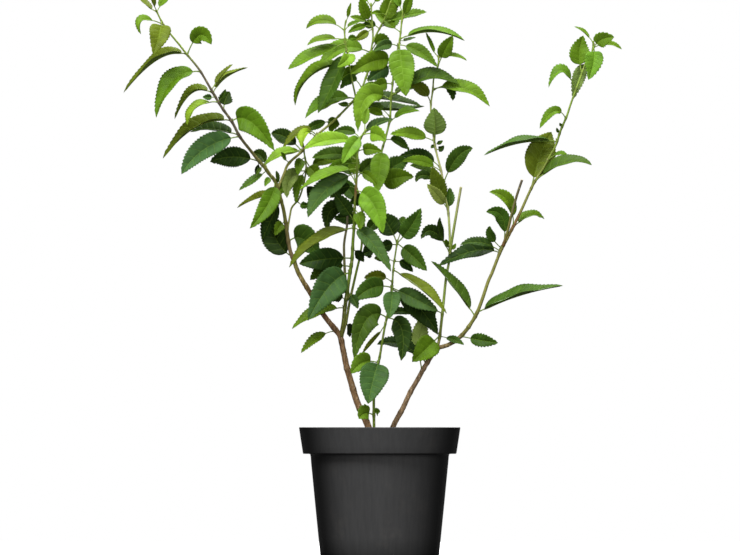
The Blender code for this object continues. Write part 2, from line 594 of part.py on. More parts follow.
def is_clear(leaf, own_stem, trees, own_tree):
    """Whether a leaf, a little larger than life, touches nothing but the stem it grows from."""
    if crosses_itself(leaf.solid()):
        return False
    body = tree_of(leaf.solid(CLEARANCE, bare_root=True))
    if any(body.overlap(tree) for name, tree in trees if name != own_stem):
        return False
    return leaf.length < SHORT_LEAF or not own_tree.overlap(body)


def place_leaf(leaf, stem, seated, trees, own_tree):
    """The leaf as traced or, where it would cross something, swung and rolled until it is clear."""
    for roll in ROLLS:
        for swing in SWINGS:
            placed = TracedLeaf(leaf, stem, seated, swing, math.radians(roll))
            if is_clear(placed, stem.name, trees, own_tree):
                return placed
    print("not clear:", stem.name, leaf)
    return None


def grow_plant():
    """All stems, and all leaves by the node that they are in."""
    stems = {}
    for stem in STEMS:
        stems[stem.name] = TracedStem(stem, stems)
    trees = [(name, tree_of(stem.solid())) for name, stem in stems.items()]
    own = dict(trees)
    leaves = {}
    wanted = [(stems[name].node, name, Leaf(*row), False) for name, rows in LEAVES.items() for row in rows]
    wanted += [(node, name, Leaf(*row), True) for node, name, row in WOOD_LEAVES]
    for node, name, leaf, seated in wanted:
        placed = place_leaf(leaf, stems[name], seated, trees, own[name])
        if placed:
            trees.append(("leaf", tree_of(placed.solid())))
            leaves.setdefault(node, []).append(placed)
    return stems, leaves


def fuse(node, pieces):
    """Joins the pieces into the first one by a union, and names it."""
    body, others = pieces[0], pieces[1:]
    body.name = node
    body.data.name = node
    if not others:
        return body
    group = bpy.data.collections.new(node + "_repeats")
    for item in others:
        group.objects.link(item)
    union = body.modifiers.new("union", "BOOLEAN")
    union.operation = "UNION"
    union.operand_type = "COLLECTION"
    union.collection = group
    union.solver = SOLVER
    seen = body.evaluated_get(bpy.context.evaluated_depsgraph_get())
    joined = bpy.data.meshes.new_from_object(seen)
    body.modifiers.clear()
    body.data = joined
    joined.name = node
    for item in others:
        bpy.data.objects.remove(item)
    bpy.data.collections.remove(group)
    return body


def make_plant(stems, leaves):
    """One node for each trunk, each leafy shoot and each single leaf on bare wood."""
    nodes = {}
    for stem in stems.values():
        finish = "bark" if stem.node.endswith("trunk") else "foliage"
        nodes.setdefault(stem.node, []).append(mesh_object(stem.name, *stem.solid(), finish))
    for node, group in leaves.items():
        for leaf in group:
            nodes.setdefault(node, []).append(mesh_object("leaf", *leaf.solid(), "foliage"))
    for node, pieces in nodes.items():
        fuse(node, pieces)


def turned(name, profile, finish, lumps=None):
    """A round body from a profile of (radius, height) that runs from the axis round to the axis."""
    points, faces = [], []
    rings = []
    for radius, height in profile:
        if radius == 0:
            points.append((0, 0, height))
            rings.append([len(points) - 1])
            continue
        ring = []
        for k in range(POT_SIDES):
            turn = math.tau * (k + 0.5) / POT_SIDES
            lift = lumps.uniform(-SOIL_LUMP, SOIL_LUMP) if lumps and radius in SOIL_RINGS else 0
            points.append((radius * math.cos(turn), radius * math.sin(turn), height + lift))
            ring.append(len(points) - 1)
        rings.append(ring)
    for ring, after in zip(rings, rings[1:]):
        for k in range(POT_SIDES):
            n = (k + 1) % POT_SIDES
            if len(ring) == 1:
                faces.append((ring[0], after[k], after[n]))
            elif len(after) == 1:
                faces.append((ring[k], ring[n], after[0]))
            else:
                faces.append((ring[k], ring[n], after[n], after[k]))
    return mesh_object(name, points, faces, finish)


def inner_radius(height):
    """The inside of the pot's wall below its band, at a height."""
    share = (height - FLOOR_THICKNESS) / (POT_HEIGHT - BAND_HEIGHT)
    return FOOT_RADIUS - WALL + share * (SHOULDER_RADIUS - FOOT_RADIUS)


def make_pot():
    """A thin tapering pot with a wide band under its rim, and drain holes in its floor."""
    step = POT_HEIGHT - BAND_HEIGHT
    pot = turned("pot", (
        (0, 0),
        (FOOT_RADIUS - EDGE_ROUND, 0),
        (FOOT_RADIUS, EDGE_ROUND),
        (SHOULDER_RADIUS, step + WALL / 2),
        (BAND_FOOT_RADIUS - EDGE_ROUND / 2, step),
        (BAND_FOOT_RADIUS, step + EDGE_ROUND / 2),
        (RIM_RADIUS, POT_HEIGHT - EDGE_ROUND / 2),
        (RIM_RADIUS - EDGE_ROUND / 2, POT_HEIGHT),
        (RIM_RADIUS - WALL - EDGE_ROUND / 2, POT_HEIGHT),
        (BAND_FOOT_RADIUS - WALL, step + WALL),
        (inner_radius(step), step + WALL),
        (inner_radius(FLOOR_THICKNESS), FLOOR_THICKNESS),
        (0, FLOOR_THICKNESS),
    ), "pot")
    group = bpy.data.collections.new("drain_cutters")
    for k in range(DRAIN_HOLES):
        turn = math.tau * k / DRAIN_HOLES
        middle = Vector((math.cos(turn), math.sin(turn), 0)) * DRAIN_RING_RADIUS
        shape = bmesh.new()
        bmesh.ops.create_cone(shape, cap_ends=True, segments=DRAIN_HOLE_SIDES,
                              radius1=DRAIN_HOLE_RADIUS, radius2=DRAIN_HOLE_RADIUS,
                              depth=4 * FLOOR_THICKNESS,
                              matrix=Matrix.Translation(middle))
        mesh = bpy.data.meshes.new("drain_cutter")
        shape.to_mesh(mesh)
        shape.free()
        group.objects.link(bpy.data.objects.new("drain_cutter", mesh))
    cut_with(pot, group)
    shade_round(pot)


def cut_with(body, group):
    """Takes the cutters of a collection out of the body, applies that and removes them."""
    cut = body.modifiers.new("cut", "BOOLEAN")
    cut.operation = "DIFFERENCE"
    cut.operand_type = "COLLECTION"
    cut.collection = group
    cut.solver = SOLVER
    seen = body.evaluated_get(bpy.context.evaluated_depsgraph_get())
    mesh = bpy.data.meshes.new_from_object(seen)
    body.modifiers.clear()
    body.data = mesh
    mesh.name = body.name
    for item in list(group.objects):
        bpy.data.objects.remove(item)
    bpy.data.collections.remove(group)


def shade_round(item):
    item.data.shade_smooth()
    item.data.set_sharp_from_angle(angle=math.radians(30))


def make_soil(stems):
    """Soil that fills the pot to just below its rim, with a plain hole for each trunk and stem."""
    step = POT_HEIGHT - BAND_HEIGHT
    top = POT_HEIGHT - SOIL_BELOW_RIM
    band_share = (top - step) / BAND_HEIGHT
    top_radius = BAND_FOOT_RADIUS + band_share * (RIM_RADIUS - BAND_FOOT_RADIUS) - WALL
    side_gap = 2 * GAP
    profile = [
        (0, FLOOR_THICKNESS + GAP),
        (inner_radius(FLOOR_THICKNESS) - side_gap, FLOOR_THICKNESS + GAP),
        (inner_radius(step) - side_gap, step + WALL + GAP),
        (BAND_FOOT_RADIUS - WALL - side_gap, step + WALL + GAP),
        (top_radius - side_gap, top),
    ]
    profile += [(radius, top) for radius in reversed(SOIL_RINGS)]
    profile.append((0, top))
    soil = turned("soil", profile, "soil", random.Random(SOIL_SEED))
    group = bpy.data.collections.new("stem_holes")
    for name in ("left_trunk", "middle", "right_trunk"):
        cutter = mesh_object(name + "_hole", *stems[name].solid(GAP), "soil")
        bpy.context.collection.objects.unlink(cutter)
        group.objects.link(cutter)
    cut_with(soil, group)


def main():
    clear_scene()
    stems, leaves = grow_plant()
    make_pot()
    make_soil(stems)
    make_plant(stems, leaves)


main()
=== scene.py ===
"""A young forsythia in a plain black nursery pot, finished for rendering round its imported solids.

Places on the plant are written as points of its front view, in pixels across and down, with the
distance towards the viewer in millimetres, as in the part's own source. SCALE turns pixels into
metres. The origin is the centre of the pot's underside, +Z is up and the viewer looks along +Y.
"""

import functools
import json
import math
import random
from collections import namedtuple

import bmesh
import bpy
import numpy as np
from bpy.props import FloatProperty, FloatVectorProperty, IntProperty, PointerProperty
from mathutils import Matrix, Vector, noise
from mathutils.bvhtree import BVHTree

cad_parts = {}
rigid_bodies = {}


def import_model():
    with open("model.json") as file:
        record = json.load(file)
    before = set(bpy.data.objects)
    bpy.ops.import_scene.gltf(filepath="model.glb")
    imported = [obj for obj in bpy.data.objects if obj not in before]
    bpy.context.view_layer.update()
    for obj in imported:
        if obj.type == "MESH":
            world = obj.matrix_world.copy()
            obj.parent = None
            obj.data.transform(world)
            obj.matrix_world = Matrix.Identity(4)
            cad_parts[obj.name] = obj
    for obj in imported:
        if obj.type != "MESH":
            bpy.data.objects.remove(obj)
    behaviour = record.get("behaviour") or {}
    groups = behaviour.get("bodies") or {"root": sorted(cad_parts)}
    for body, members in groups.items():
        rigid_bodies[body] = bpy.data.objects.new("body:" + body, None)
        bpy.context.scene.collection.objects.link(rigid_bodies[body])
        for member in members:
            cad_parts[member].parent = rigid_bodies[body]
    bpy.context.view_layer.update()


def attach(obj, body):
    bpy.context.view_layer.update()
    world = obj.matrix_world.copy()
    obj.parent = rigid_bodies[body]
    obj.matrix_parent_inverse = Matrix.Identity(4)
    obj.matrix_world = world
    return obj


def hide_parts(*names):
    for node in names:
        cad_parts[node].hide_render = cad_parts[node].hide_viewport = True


bl_info = {
    "name": "Potted Forsythia",
    "version": (1, 0, 0),
    "blender": (4, 5, 0),
    "location": "View3D > Sidebar > Forsythia",
    "description": "Builds a leafy forsythia in a nursery pot, with its soil, lights and camera",
    "category": "Object",
}

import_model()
BODY = "root"

MM, CM = 0.001, 0.01
GAP = 0.3 * MM

# The front view: the pot's axis, the line that it stands on, and the size of one pixel there.
RIM_RADIUS = 95 * MM
RIM_PIXELS = 161.5
SCALE = 2 * RIM_RADIUS / RIM_PIXELS
AXIS_X = 379.7
GROUND_Y = 555.6
SPREAD = 1.5
VIEW_WIDTH, VIEW_HEIGHT = 740, 555
TO_VIEWER = Vector((0, -1, 0))

# The solids' stems and leaves, whose places and clearances the finer ones keep.
STEM_SIDES = 5
TRUNK_SIDES = 8
STEM_STEP = 18 * MM
TRACE_STEP = 2 * MM
STEPS_AHEAD = 3
BEND_NEAR_SHARE = 0.74
LENGTH_STEPS = 12
ROOT_DEPTH_SHARE = 0.4
BARE_STALK_SHARE = 0.5
EDGE_BASE_POWER = 0.56
EDGE_TIP_POWER = 0.95
WIDEST_STATION = 0.37
LEAST_SINE_SQUARED = 0.05
LEAST_CROSS = 0.05
PETIOLE_LENGTH = 11 * MM
PETIOLE_SHARE_MOST = 0.28
PETIOLE_HALF_WIDTH = 0.75 * MM
ROOT_HALF_WIDTH = 0.5 * MM
RIB_HALF_THICKNESS = 0.7 * MM
TIP_HALF_THICKNESS = 0.35 * MM
SLIMMEST_BLADE = 0.34
FOLD = math.radians(20)
RIB_STATIONS = (0.34, 0.68)
SHOULDER_STATION = 0.09
TEETH_START = 0.2
TEETH_END = 0.93
TOOTH_LEAN = 0.78
TOOTH_OUT = 1.05
TOOTH_IN = 0.9
LONG_LEAF = 62 * MM
SHORT_LEAF = 27 * MM
SHORT_TEETH, MIDDLE_TEETH, LONG_TEETH = 2, 3, 4
CLEARANCE = 0.9 * MM
# Millimetres and degrees that a leaf is swung and rolled by, tried in turn until it is clear.
SWINGS = (0, 8, -8, 16, -16, 24, -24, 32, -32, 42, -42, 54, -54, 68, -68)
ROLLS = (0, 14, -14, 28, -28)

# A stem follows its points of the view: x, y and millimetres towards the viewer before SPREAD.
Stem = namedtuple("Stem", "name node parent thick_mm thin_mm points")

STEMS = (
    Stem("left_trunk", "left_trunk", None, 8.8, 5.0, (
        (372, 468, 0), (371, 445, 0), (368, 426, 0), (357.5, 403, 0), (351, 382, 1), (346.5, 366, 2),
        (343, 349, 3), (340, 336, 4), (334, 328, 5), (323, 314, 4), (309, 291, 1), (299, 274, -2),
        (294.5, 262, -3))),
    Stem("arch", "arch_shoot", "left_trunk", 4.8, 1.9, (
        (294.5, 262, -3), (290, 250, -2), (287, 232, 2), (284, 212, 7), (281, 200, 10),
        (278, 190, 12), (275, 181, 14), (270, 175, 16), (265, 168, 18), (258, 160, 20),
        (250, 150, 24), (240, 137, 29), (232, 122, 33), (222, 108, 38), (213, 93, 42),
        (200, 71, 48), (187, 55, 52), (180, 46, 54), (170, 34, 57), (163, 24, 59), (157, 12, 61))),
    Stem("sprig", "arch_shoot", "arch", 2.4, 1.8, (
        (287.5, 230, 3), (290, 215, -6), (292, 207, -10), (299, 198, -14), (304, 182, -18),
        (306, 166, -20), (304, 152, -21), (303, 143, -20))),
    Stem("side", "upper_left_shoot", "arch", 3.2, 1.9, (
        (278, 188, 12), (284, 174, 5), (287, 166, 1), (292, 160, -3), (300, 153, -7),
        (309, 143, -12), (319, 133, -17), (332, 122, -24), (344, 110, -30), (356, 97, -36),
        (362, 87, -40), (366, 76, -43), (369, 66, -45), (371, 50, -47), (373, 36, -48),
        (372, 20, -48), (371, 2, -47))),
    Stem("upright", "upper_left_shoot", "side", 2.2, 1.8, (
        (356, 97, -36), (352.5, 82, -30), (349.5, 64, -25), (346, 46, -22), (344.5, 30, -20),
        (346, 20, -19))),
    Stem("crown", "upper_left_shoot", "side", 2.2, 1.8, (
        (372.5, 42, -48), (376, 34, -46), (381, 25, -42), (386, 14, -39), (391, 0, -36))),
    Stem("central", "central_shoot", "left_trunk", 5.0, 2.0, (
        (341, 336, 4), (343.5, 322, 9), (344.5, 311, 10), (347, 293, 11), (350, 273, 12),
        (352, 260, 13), (353, 241, 14), (354, 228, 15), (354.5, 209, 16), (356, 189, 17),
        (357, 171, 16), (358, 147, 14), (361, 138, 13), (366, 130, 12))),
    Stem("slender", "upper_right_shoot", "central", 2.9, 1.9, (
        (354, 226, 15), (361, 214, 6), (369, 201, -2), (375, 188, -8), (379, 168, -12),
        (382, 150, -15), (386, 136, -18), (390, 118, -21), (391, 100, -24), (392.5, 85, -26),
        (394, 71, -28), (398, 48, -31), (400, 38, -32), (402, 19, -33), (404, 2, -33))),
    Stem("back", "back_shoot", "left_trunk", 3.6, 1.9, (
        (341, 339, 4), (346, 322, -8), (350, 300, -14), (356, 273, -18), (360, 256, -21),
        (362, 242, -24), (364, 226, -28), (361, 205, -33), (355, 180, -38))),
    Stem("back_stub", "back_shoot", "back", 3.6, 2.6, (
        (350, 300, -14), (345.5, 280, -18), (344, 251, -22), (344.5, 240, -23), (347, 225, -24),
        (347.5, 212, -25))),
    Stem("middle", "middle_shoot", None, 3.8, 1.9, (
        (373, 462, 9), (374, 440, 9), (374, 426, 10), (374, 394, 11), (377, 370, 11),
        (379.5, 358, 11), (382, 343, 11), (385, 326, 10), (388, 312, 9), (392, 286, 8),
        (393.5, 267, 6), (396, 250, 4), (397.5, 240, 3))),
    Stem("right_trunk", "right_trunk", None, 6.8, 4.6, (
        (386, 468, -4), (389, 445, -5), (393.5, 426, -6), (402.5, 409, -6), (410, 393, -5),
        (418, 379, -4), (424, 368, -3), (431.5, 356, -2), (437, 348.5, -1), (443, 346.5, 0),
        (449, 344.5, 1), (457, 339.5, 2), (463, 334, 3), (468, 328, 4))),
    Stem("inner", "right_inner_shoot", "right_trunk", 3.6, 1.8, (
        (437, 348.5, -1), (439.5, 338, -3), (442, 317, -6), (444, 298, -9), (446, 279, -12),
        (449, 262, -15), (450, 250, -17), (449.5, 228, -19), (448, 209, -21), (445, 196, -22),
        (442, 174, -24), (437, 154, -26), (434.5, 142, -27), (432, 122, -29), (431, 105, -30),
        (433, 89, -31), (434, 77, -32), (438, 66, -32), (439, 52, -32))),
    Stem("inner_stub", "right_inner_shoot", "inner", 3.4, 3.1, (
        (450, 252, -17), (452, 240, -14), (455, 222, -10), (461, 187, -4))),
    Stem("outer", "right_outer_shoot", "right_trunk", 4.4, 1.9, (
        (468, 328, 4), (476, 315, 5), (482, 300, 4), (488, 282, 1), (492, 273, -1),
        (497, 260, -4), (501, 250, -6), (507, 239, -10), (513, 227, -13), (521, 211, -17),
        (531, 189, -22), (537, 178, -24), (544, 167, -27), (549, 158, -29), (556, 145, -32),
        (561, 130, -35), (567, 116, -38), (571, 104, -41), (576, 90, -44), (581, 77, -47),
        (586, 63, -50), (593, 50, -53), (594, 40, -54))),
    Stem("outer_stub", "right_outer_shoot", "outer", 3.4, 3.0, (
        (503, 246, -7), (508, 230, -3), (512, 213, 1), (517, 195, 5), (522, 180, 8))),
)

# A leaf grows from the point of its stem nearest to its root, heads for its bend and ends at its
# tip, along a parabola. seen is the blade's widest width in the view, in pixels, with a minus where the
# view shows its underside. near is how many millimetres nearer to the viewer the tip is.
Leaf = namedtuple("Leaf", "root_x root_y bend_x bend_y tip_x tip_y seen near")

LEAVES = {
    "arch": (
        (157, 13, 148, 7, 134, -9, 5, -20), (157, 13, 155, 5, 149, -16, 5, 12),
        (157, 13, 161, 3, 176, -12, 8, -16), (164, 25, 134, 10, 142, 36, 7, 20),
        (163, 22, 163, 29, 154, 57, 21, 16), (187, 56, 199, 23, 212, 46, 17, 14),
        (187, 56, 160, 40, 124, 94, 5, -16), (200, 72, 166, 66, 157, 119, 16, 20),
        (214, 90, 219, 75, 233, 65, 4, -20), (214, 93, 219, 73, 248, 68, 3, -34),
        (214, 94, 190, 75, 175, 120, 6, -18), (219, 102, 190, 98, 188, 127, 7, 28),
        (216, 98, 209, 98, 203, 98, 6, 12), (222, 111, 224, 100, 230, 92, 14, -10),
        (231, 121, 194, 109, 163, 159, 9, -26),
        (239, 136, 211, 122, 190, 132, 9, -42), (240, 138, 202, 140, 182, 175, 22, 26),
        (258, 162, 232, 152, 210, 162, 20, -20), (232, 122, 247, 107, 275, 152, 25, 20),
        (268, 172, 262, 150, 253, 154, 12, -20),
        (268, 170, 258, 176, 239, 191, 7, 16), (272, 177, 268, 178, 265, 187, 6, 14),
        (279, 194, 258, 191, 237, 208, 6, -24), (276, 180, 276, 200, 250, 229, 18, 24),
        (291, 256, 271, 244, 266, 204, 26, -24), (285, 221, 280, 222, 275, 236, 10, 16),
        (287, 243, 300, 228, 319, 256, 28, -14), (281, 200, 272, 214, 262, 240, 14, -40),
        (260, 162, 258, 168, 256, 175, 5, -14),
    ),
    "sprig": (
        (304, 182, 286, 176, 275, 196, 14, -34), (303, 170, 285, 168, 287, 198, 14, 24),
        (306, 168, 322, 156, 340, 158, 11, -22), (304, 184, 313, 190, 318, 205, 12, -40),
        (303, 146, 300, 136, 297, 126, 8, -16), (303, 150, 292, 148, 281, 157, 7, 30),
        (305, 160, 312, 172, 322, 178, 14, 20), (296, 201, 303, 208, 310, 203, 7, 14),
        (305, 170, 297, 176, 296, 204, 9, 8), (305, 156, 299, 158, 298, 175, 10, 24),
    ),
    "side": (
        (317, 135, 304, 118, 282, 149, 8, 10), (316, 136, 302, 122, 302, 148, 9, 24),
        (301, 151, 286, 132, 271, 133, 15, -26), (301, 152, 285, 143, 262, 168, 8, 20),
        (289, 163, 284, 158, 281, 152, 4, 10), (333, 121, 318, 121, 303, 131, 9, -14),
        (338, 115, 334, 118, 330, 132, 12, -12),
        (356, 98, 328, 88, 305, 118, 13, 20), (356, 98, 335, 92, 318, 111, 9, -26),
        (352, 101, 345, 105, 338, 103, 5, 14), (357, 96, 388, 93, 421, 105, 7, -16),
        (352, 101, 387, 110, 425, 105, 7, -34), (362, 87, 352, 68, 340, 88, 10, -14),
        (371, 51, 338, 32, 317, 72, 15, 16), (371, 51, 380, 31, 390, 43, 14, -16),
        (367, 70, 352, 66, 336, 80, 12, -34), (366, 76, 374, 84, 366, 101, 12, 26),
        (372, 26, 364, 12, 361, -5, 11, 12), (372, 22, 361, 17, 350, 15, 6, -12),
        (372, 25, 360, 22, 348, 32, 7, 12), (372, 27, 366, 32, 354, 40, 8, 22),
        (371, 6, 364, -6, 356, -12, 8, -10), (371, 5, 379, -4, 384, -16, 8, 10),
    ),
    "upright": (
        (344.5, 30, 322, 9, 306, 28, 9, -10), (344.5, 39, 322, 33, 307, 45, 6, 12),
        (345, 42, 314, 50, 288, 69, 11, 16), (348.5, 60, 297, 63, 295, 105, 8, -16),
        (346, 48, 336, 76, 318, 113, 17, 12), (348, 50, 356, 54, 337, 67, 13, 20),
        (345, 30, 350, 21, 360, 21, 4, -10), (346, 22, 349, 13, 351, 2, 4, 6),
        (346, 42, 351, 34, 357, 38, 6, -24),
    ),
    "crown": (
        (381, 25, 388, 9, 397, -12, 17, 8), (383, 22, 403, 12, 427, 11, 9, 14),
        (379, 28, 372, 20, 362, 24, 9, -22), (381, 25, 393, 23, 400, 16, 9, -26),
        (387, 14, 379, 10, 371, 13, 5, 16), (390, 4, 396, -8, 406, -14, 8, -10),
    ),
    "central": (
        (350, 273, 330, 276, 308, 321, 29, 26), (344.5, 308, 318, 304, 292, 329, 11, -12),
        (354, 228, 316, 230, 289, 268, 10, 22), (351, 258, 325, 257, 299, 264, 22, -18),
        (346, 300, 340, 294, 331, 301, 9, -14), (348, 292, 354, 298, 358, 309, 9, 16),
        (356, 228, 368, 230, 391, 272, 16, 22), (354, 222, 346, 208, 333, 192, 15, 14),
        (353, 215, 324, 196, 327, 230, 17, -20), (355, 210, 361, 214, 360, 230, 12, 18),
        (356, 190, 374, 192, 383, 234, 24, 28), (356, 189, 343, 182, 330, 198, 12, -26),
        (357, 172, 320, 183, 308, 218, 19, 26), (357, 170, 330, 166, 299, 191, 9, 10),
        (357, 173, 367, 171, 377, 186, 9, 12), (358, 160, 338, 148, 312, 158, 13, -22),
        (359, 141, 328, 133, 304, 150, 13, 20), (360, 138, 352, 126, 333, 132, 9, -14),
        (363, 135, 353, 141, 342, 165, 15, 32), (364, 136, 376, 130, 386, 142, 16, 18),
        (362, 138, 373, 120, 394, 119, 8, -18), (357, 152, 366, 147, 382, 152, 12, 12),
        (366, 131, 364, 118, 368, 108, 8, -12), (357, 163, 343, 160, 328, 168, 9, -40),
        (356, 190, 366, 198, 372, 214, 16, -36), (352, 250, 358, 252, 364, 262, 9, -34),
        (350, 266, 326, 262, 310, 280, 18, -30),
    ),
    "slender": (
        (401, 32, 388, 21, 375, 12, 10, -12), (401, 38, 432, 18, 465, 40, 5, -12),
        (399, 42, 401, 62, 406, 96, 25, 30), (399, 44, 418, 44, 438, 67, 12, 14),
        (398, 46, 388, 39, 373, 51, 10, 20),
        (396, 60, 376, 54, 350, 74, 20, 22), (395, 64, 384, 66, 367, 80, 16, -14),
        (394, 84, 384, 80, 368, 92, 13, 10), (392, 94, 427, 61, 460, 84, 12, -8),
        (391, 100, 360, 76, 358, 132, 20, 30), (390, 116, 378, 100, 369, 107, 6, 8),
        (389, 122, 377, 106, 366, 112, 8, 12), (389, 123, 399, 107, 420, 111, 7, 16),
        (383, 147, 380, 163, 377, 193, 19, 28), (377, 188, 394, 174, 414, 177, 20, 14),
        (378, 185, 392, 162, 409, 160, 19, -16), (402, 20, 408, 6, 411, -9, 9, 10),
        (403, 12, 398, 0, 392, -14, 8, -12), (391, 97, 402, 84, 414, 88, 6, -34),
        (369, 202, 360, 196, 350, 203, 12, -34), (385, 139, 398, 136, 410, 150, 9, -30),
    ),
    "back": (
        (363, 236, 372, 222, 385, 216, 12, -18), (362, 242, 368, 248, 370, 258, 10, -30),
        (359, 258, 366, 250, 375, 250, 9, -34), (351, 296, 338, 284, 322, 292, 14, -40),
        (361, 205, 350, 190, 340, 176, 14, -30), (356, 182, 346, 163, 332, 160, 10, -24),
        (355, 180, 366, 164, 378, 158, 14, -22), (363, 225, 350, 214, 334, 218, 13, -30),
        (347, 322, 350, 326, 350, 337, 7, -36), (355, 181, 352, 166, 356, 150, 12, -8),
    ),
    "middle": (
        (374, 416, 366, 409, 359, 419, 17, 12), (374, 413, 377, 411, 380, 412, 8, 6),
        (378, 363, 363, 356, 351, 374, 19, 20), (380, 358, 374, 374, 368, 404, 28, 18),
        (386, 317, 364, 299, 354, 360, 24, 16), (388, 318, 409, 318, 401, 361, 19, 14),
        (392, 287, 373, 281, 354, 301, 20, 12), (393, 282, 381, 272, 364, 278, 11, -16),
        (392, 286, 393, 298, 389, 319, 17, 26), (393, 287, 410, 296, 438, 311, 17, 16),
        (392, 289, 422, 302, 438, 335, 22, -16), (394, 271, 422, 281, 447, 314, 9, 22),
        (397, 243, 411, 230, 421, 208, 18, 8), (397, 243, 391, 226, 380, 213, 22, -12),
        (397, 243, 410, 252, 427, 271, 17, 16), (397, 245, 389, 243, 379, 250, 12, -18),
        (394, 262, 404, 260, 413, 272, 9, -10), (397, 242, 404, 224, 403, 216, 13, -30),
        (394, 262, 385, 256, 374, 258, 8, -30), (386, 320, 398, 306, 410, 314, 8, -30),
        (385, 324, 373, 340, 361, 355, 3, -8),
    ),
    "inner": (
        (440, 336, 429, 346, 412, 362, 23, 14), (440, 337, 452, 337, 464, 345, 7, 12),
        (443, 313, 432, 305, 420, 326, 15, -14), (449, 252, 432, 217, 421, 239, 13, 12),
        (447, 247, 435, 232, 440, 217, 7, 18), (449, 248, 446, 245, 446, 239, 5, 6),
        (450, 250, 454, 248, 456, 243, 4, -8), (448, 207, 438, 186, 432, 166, 15, 10),
        (448, 209, 441, 198, 427, 184, 11, 22), (449, 212, 450, 200, 450, 187, 10, -8),
        (446, 182, 455, 150, 473, 148, 16, 14), (444, 184, 427, 164, 410, 165, 7, -12),
        (444, 185, 420, 166, 416, 182, 9, 14), (440, 168, 424, 148, 399, 156, 13, -14),
        (441, 170, 424, 156, 402, 161, 10, 12), (434, 141, 413, 129, 390, 134, 12, 16),
        (434.5, 143, 436, 126, 434, 107, -22, -10), (436, 148, 441, 150, 444, 145, 6, 10),
        (431, 104, 427, 86, 406, 80, 12, 10), (433, 89, 466, 76, 490, 106, 13, 14),
        (433, 90, 455, 76, 453, 100, 10, -12), (438, 64, 444, 50, 453, 35, 14, 10),
        (438, 57, 431, 46, 426, 31, 4, -10), (439, 58, 453, 50, 467, 60, 4, 12),
    ),
    "outer": (
        (475, 317, 456, 280, 431, 261, 9, -18), (478, 313, 512, 288, 563, 286, 8, 20),
        (500, 251, 483, 236, 460, 245, 9, 14), (499, 253, 480, 240, 438, 266, 16, -16),
        (501, 248, 487, 236, 490, 226, 9, 8), (504, 244, 510, 206, 486, 212, 14, 12),
        (514, 226, 517, 193, 489, 192, 11, 14), (513, 229, 531, 204, 545, 219, 7, -14),
        (532, 187, 541, 146, 552, 131, 29, -12), (557, 141, 524, 131, 484, 155, 4, -22),
        (566, 117, 557, 97, 540, 128, 9, 14), (537, 181, 564, 149, 592, 165, 9, 15),
        (549, 160, 560, 147, 569, 157, 4, -10), (574, 88, 562, 50, 549, 87, 9, 12),
        (583, 72, 577, 52, 584, 34, 20, -10), (588, 58, 580, 68, 574, 98, 13, 8),
        (593, 44, 598, 54, 589, 79, 18, 14), (593, 48, 598, 36, 615, 36, 15, 10),
        (593, 47, 610, 36, 623, 48, 5, -14), (594, 42, 588, 29, 575, 25, 3, -6),
    ),
}

# A single leaf on bare wood is a piece of its own, seated on the trunk.
WOOD_LEAVES = (
    ("fork_leaf", "left_trunk", (336, 331, 316, 333, 301, 353, 9, 6)),
    ("tall_wood_leaf", "right_trunk", (421, 370, 416, 345, 424, 314, -18, -14)),
    ("low_wood_leaf", "right_trunk", (426, 363, 402, 334, 377, 344.5, 12, -18)),
    ("outer_wood_leaf", "right_trunk", (461, 336, 478, 340, 498, 343, 13, 12)),
)

# Each leaf's tone, in the order of LEAVES: K darkest, D dark, M middle, B bright, Y yellow-green,
# P pale, G grey-green, O olive. K is painted shade for leaves deep in the plant, D is partly painted
# shade for leaves low in the plant, B is partly painted light, G is a painted satin sheen and O is
# painted shade for leaves that turn their edge to the light.
LEAF_TONES = {
    "arch": "OOMBOMOMOOOYGKOKGKMKDMOMKMDKK",
    "sprig": "BPMKYYMDMM",
    "side": "OYKYMDMBMDDDDBMMMMMMOMB",
    "upright": "MMMMDYMMM",
    "crown": "MMDMMB",
    "central": "GMOKKKGKKMBKGBMDYDBYKMBMDKD",
    "slender": "MMBMGMGMDBDMMBMDMMDKD",
    "back": "DKKKDDDKKM",
    "middle": "BBBGDKDOGGKODKDKKDDKO",
    "inner": "MDDKKMMOPDDDKKMYDKOMDMMM",
    "outer": "DDKKDDMMODMDMBMPBBMM",
}
WOOD_LEAF_TONES = "MPKD"

# Leaves just unfolding at a joint of their stem, too small for the solids.
YOUNG_LEAF_TONE = "D"
YOUNG_LEAVES = {
    "arch": ((219, 102, 224, 97, 226, 90, 5, 12), (263, 166, 260, 169, 256, 176, 4, 10),
             (278, 186, 279, 178, 276, 171, 4, 8)),
    "inner": ((435, 144, 439, 143, 443, 140, 4, -6), (435, 146, 433, 145, 431, 148, 4, 6)),
    "slender": ((400, 39, 407, 39, 416, 36, 3, -22),),
    "outer": ((560, 133, 558, 131, 557, 127, 3, 5), (563, 126, 561, 125, 560, 122, 3, 5)),
}

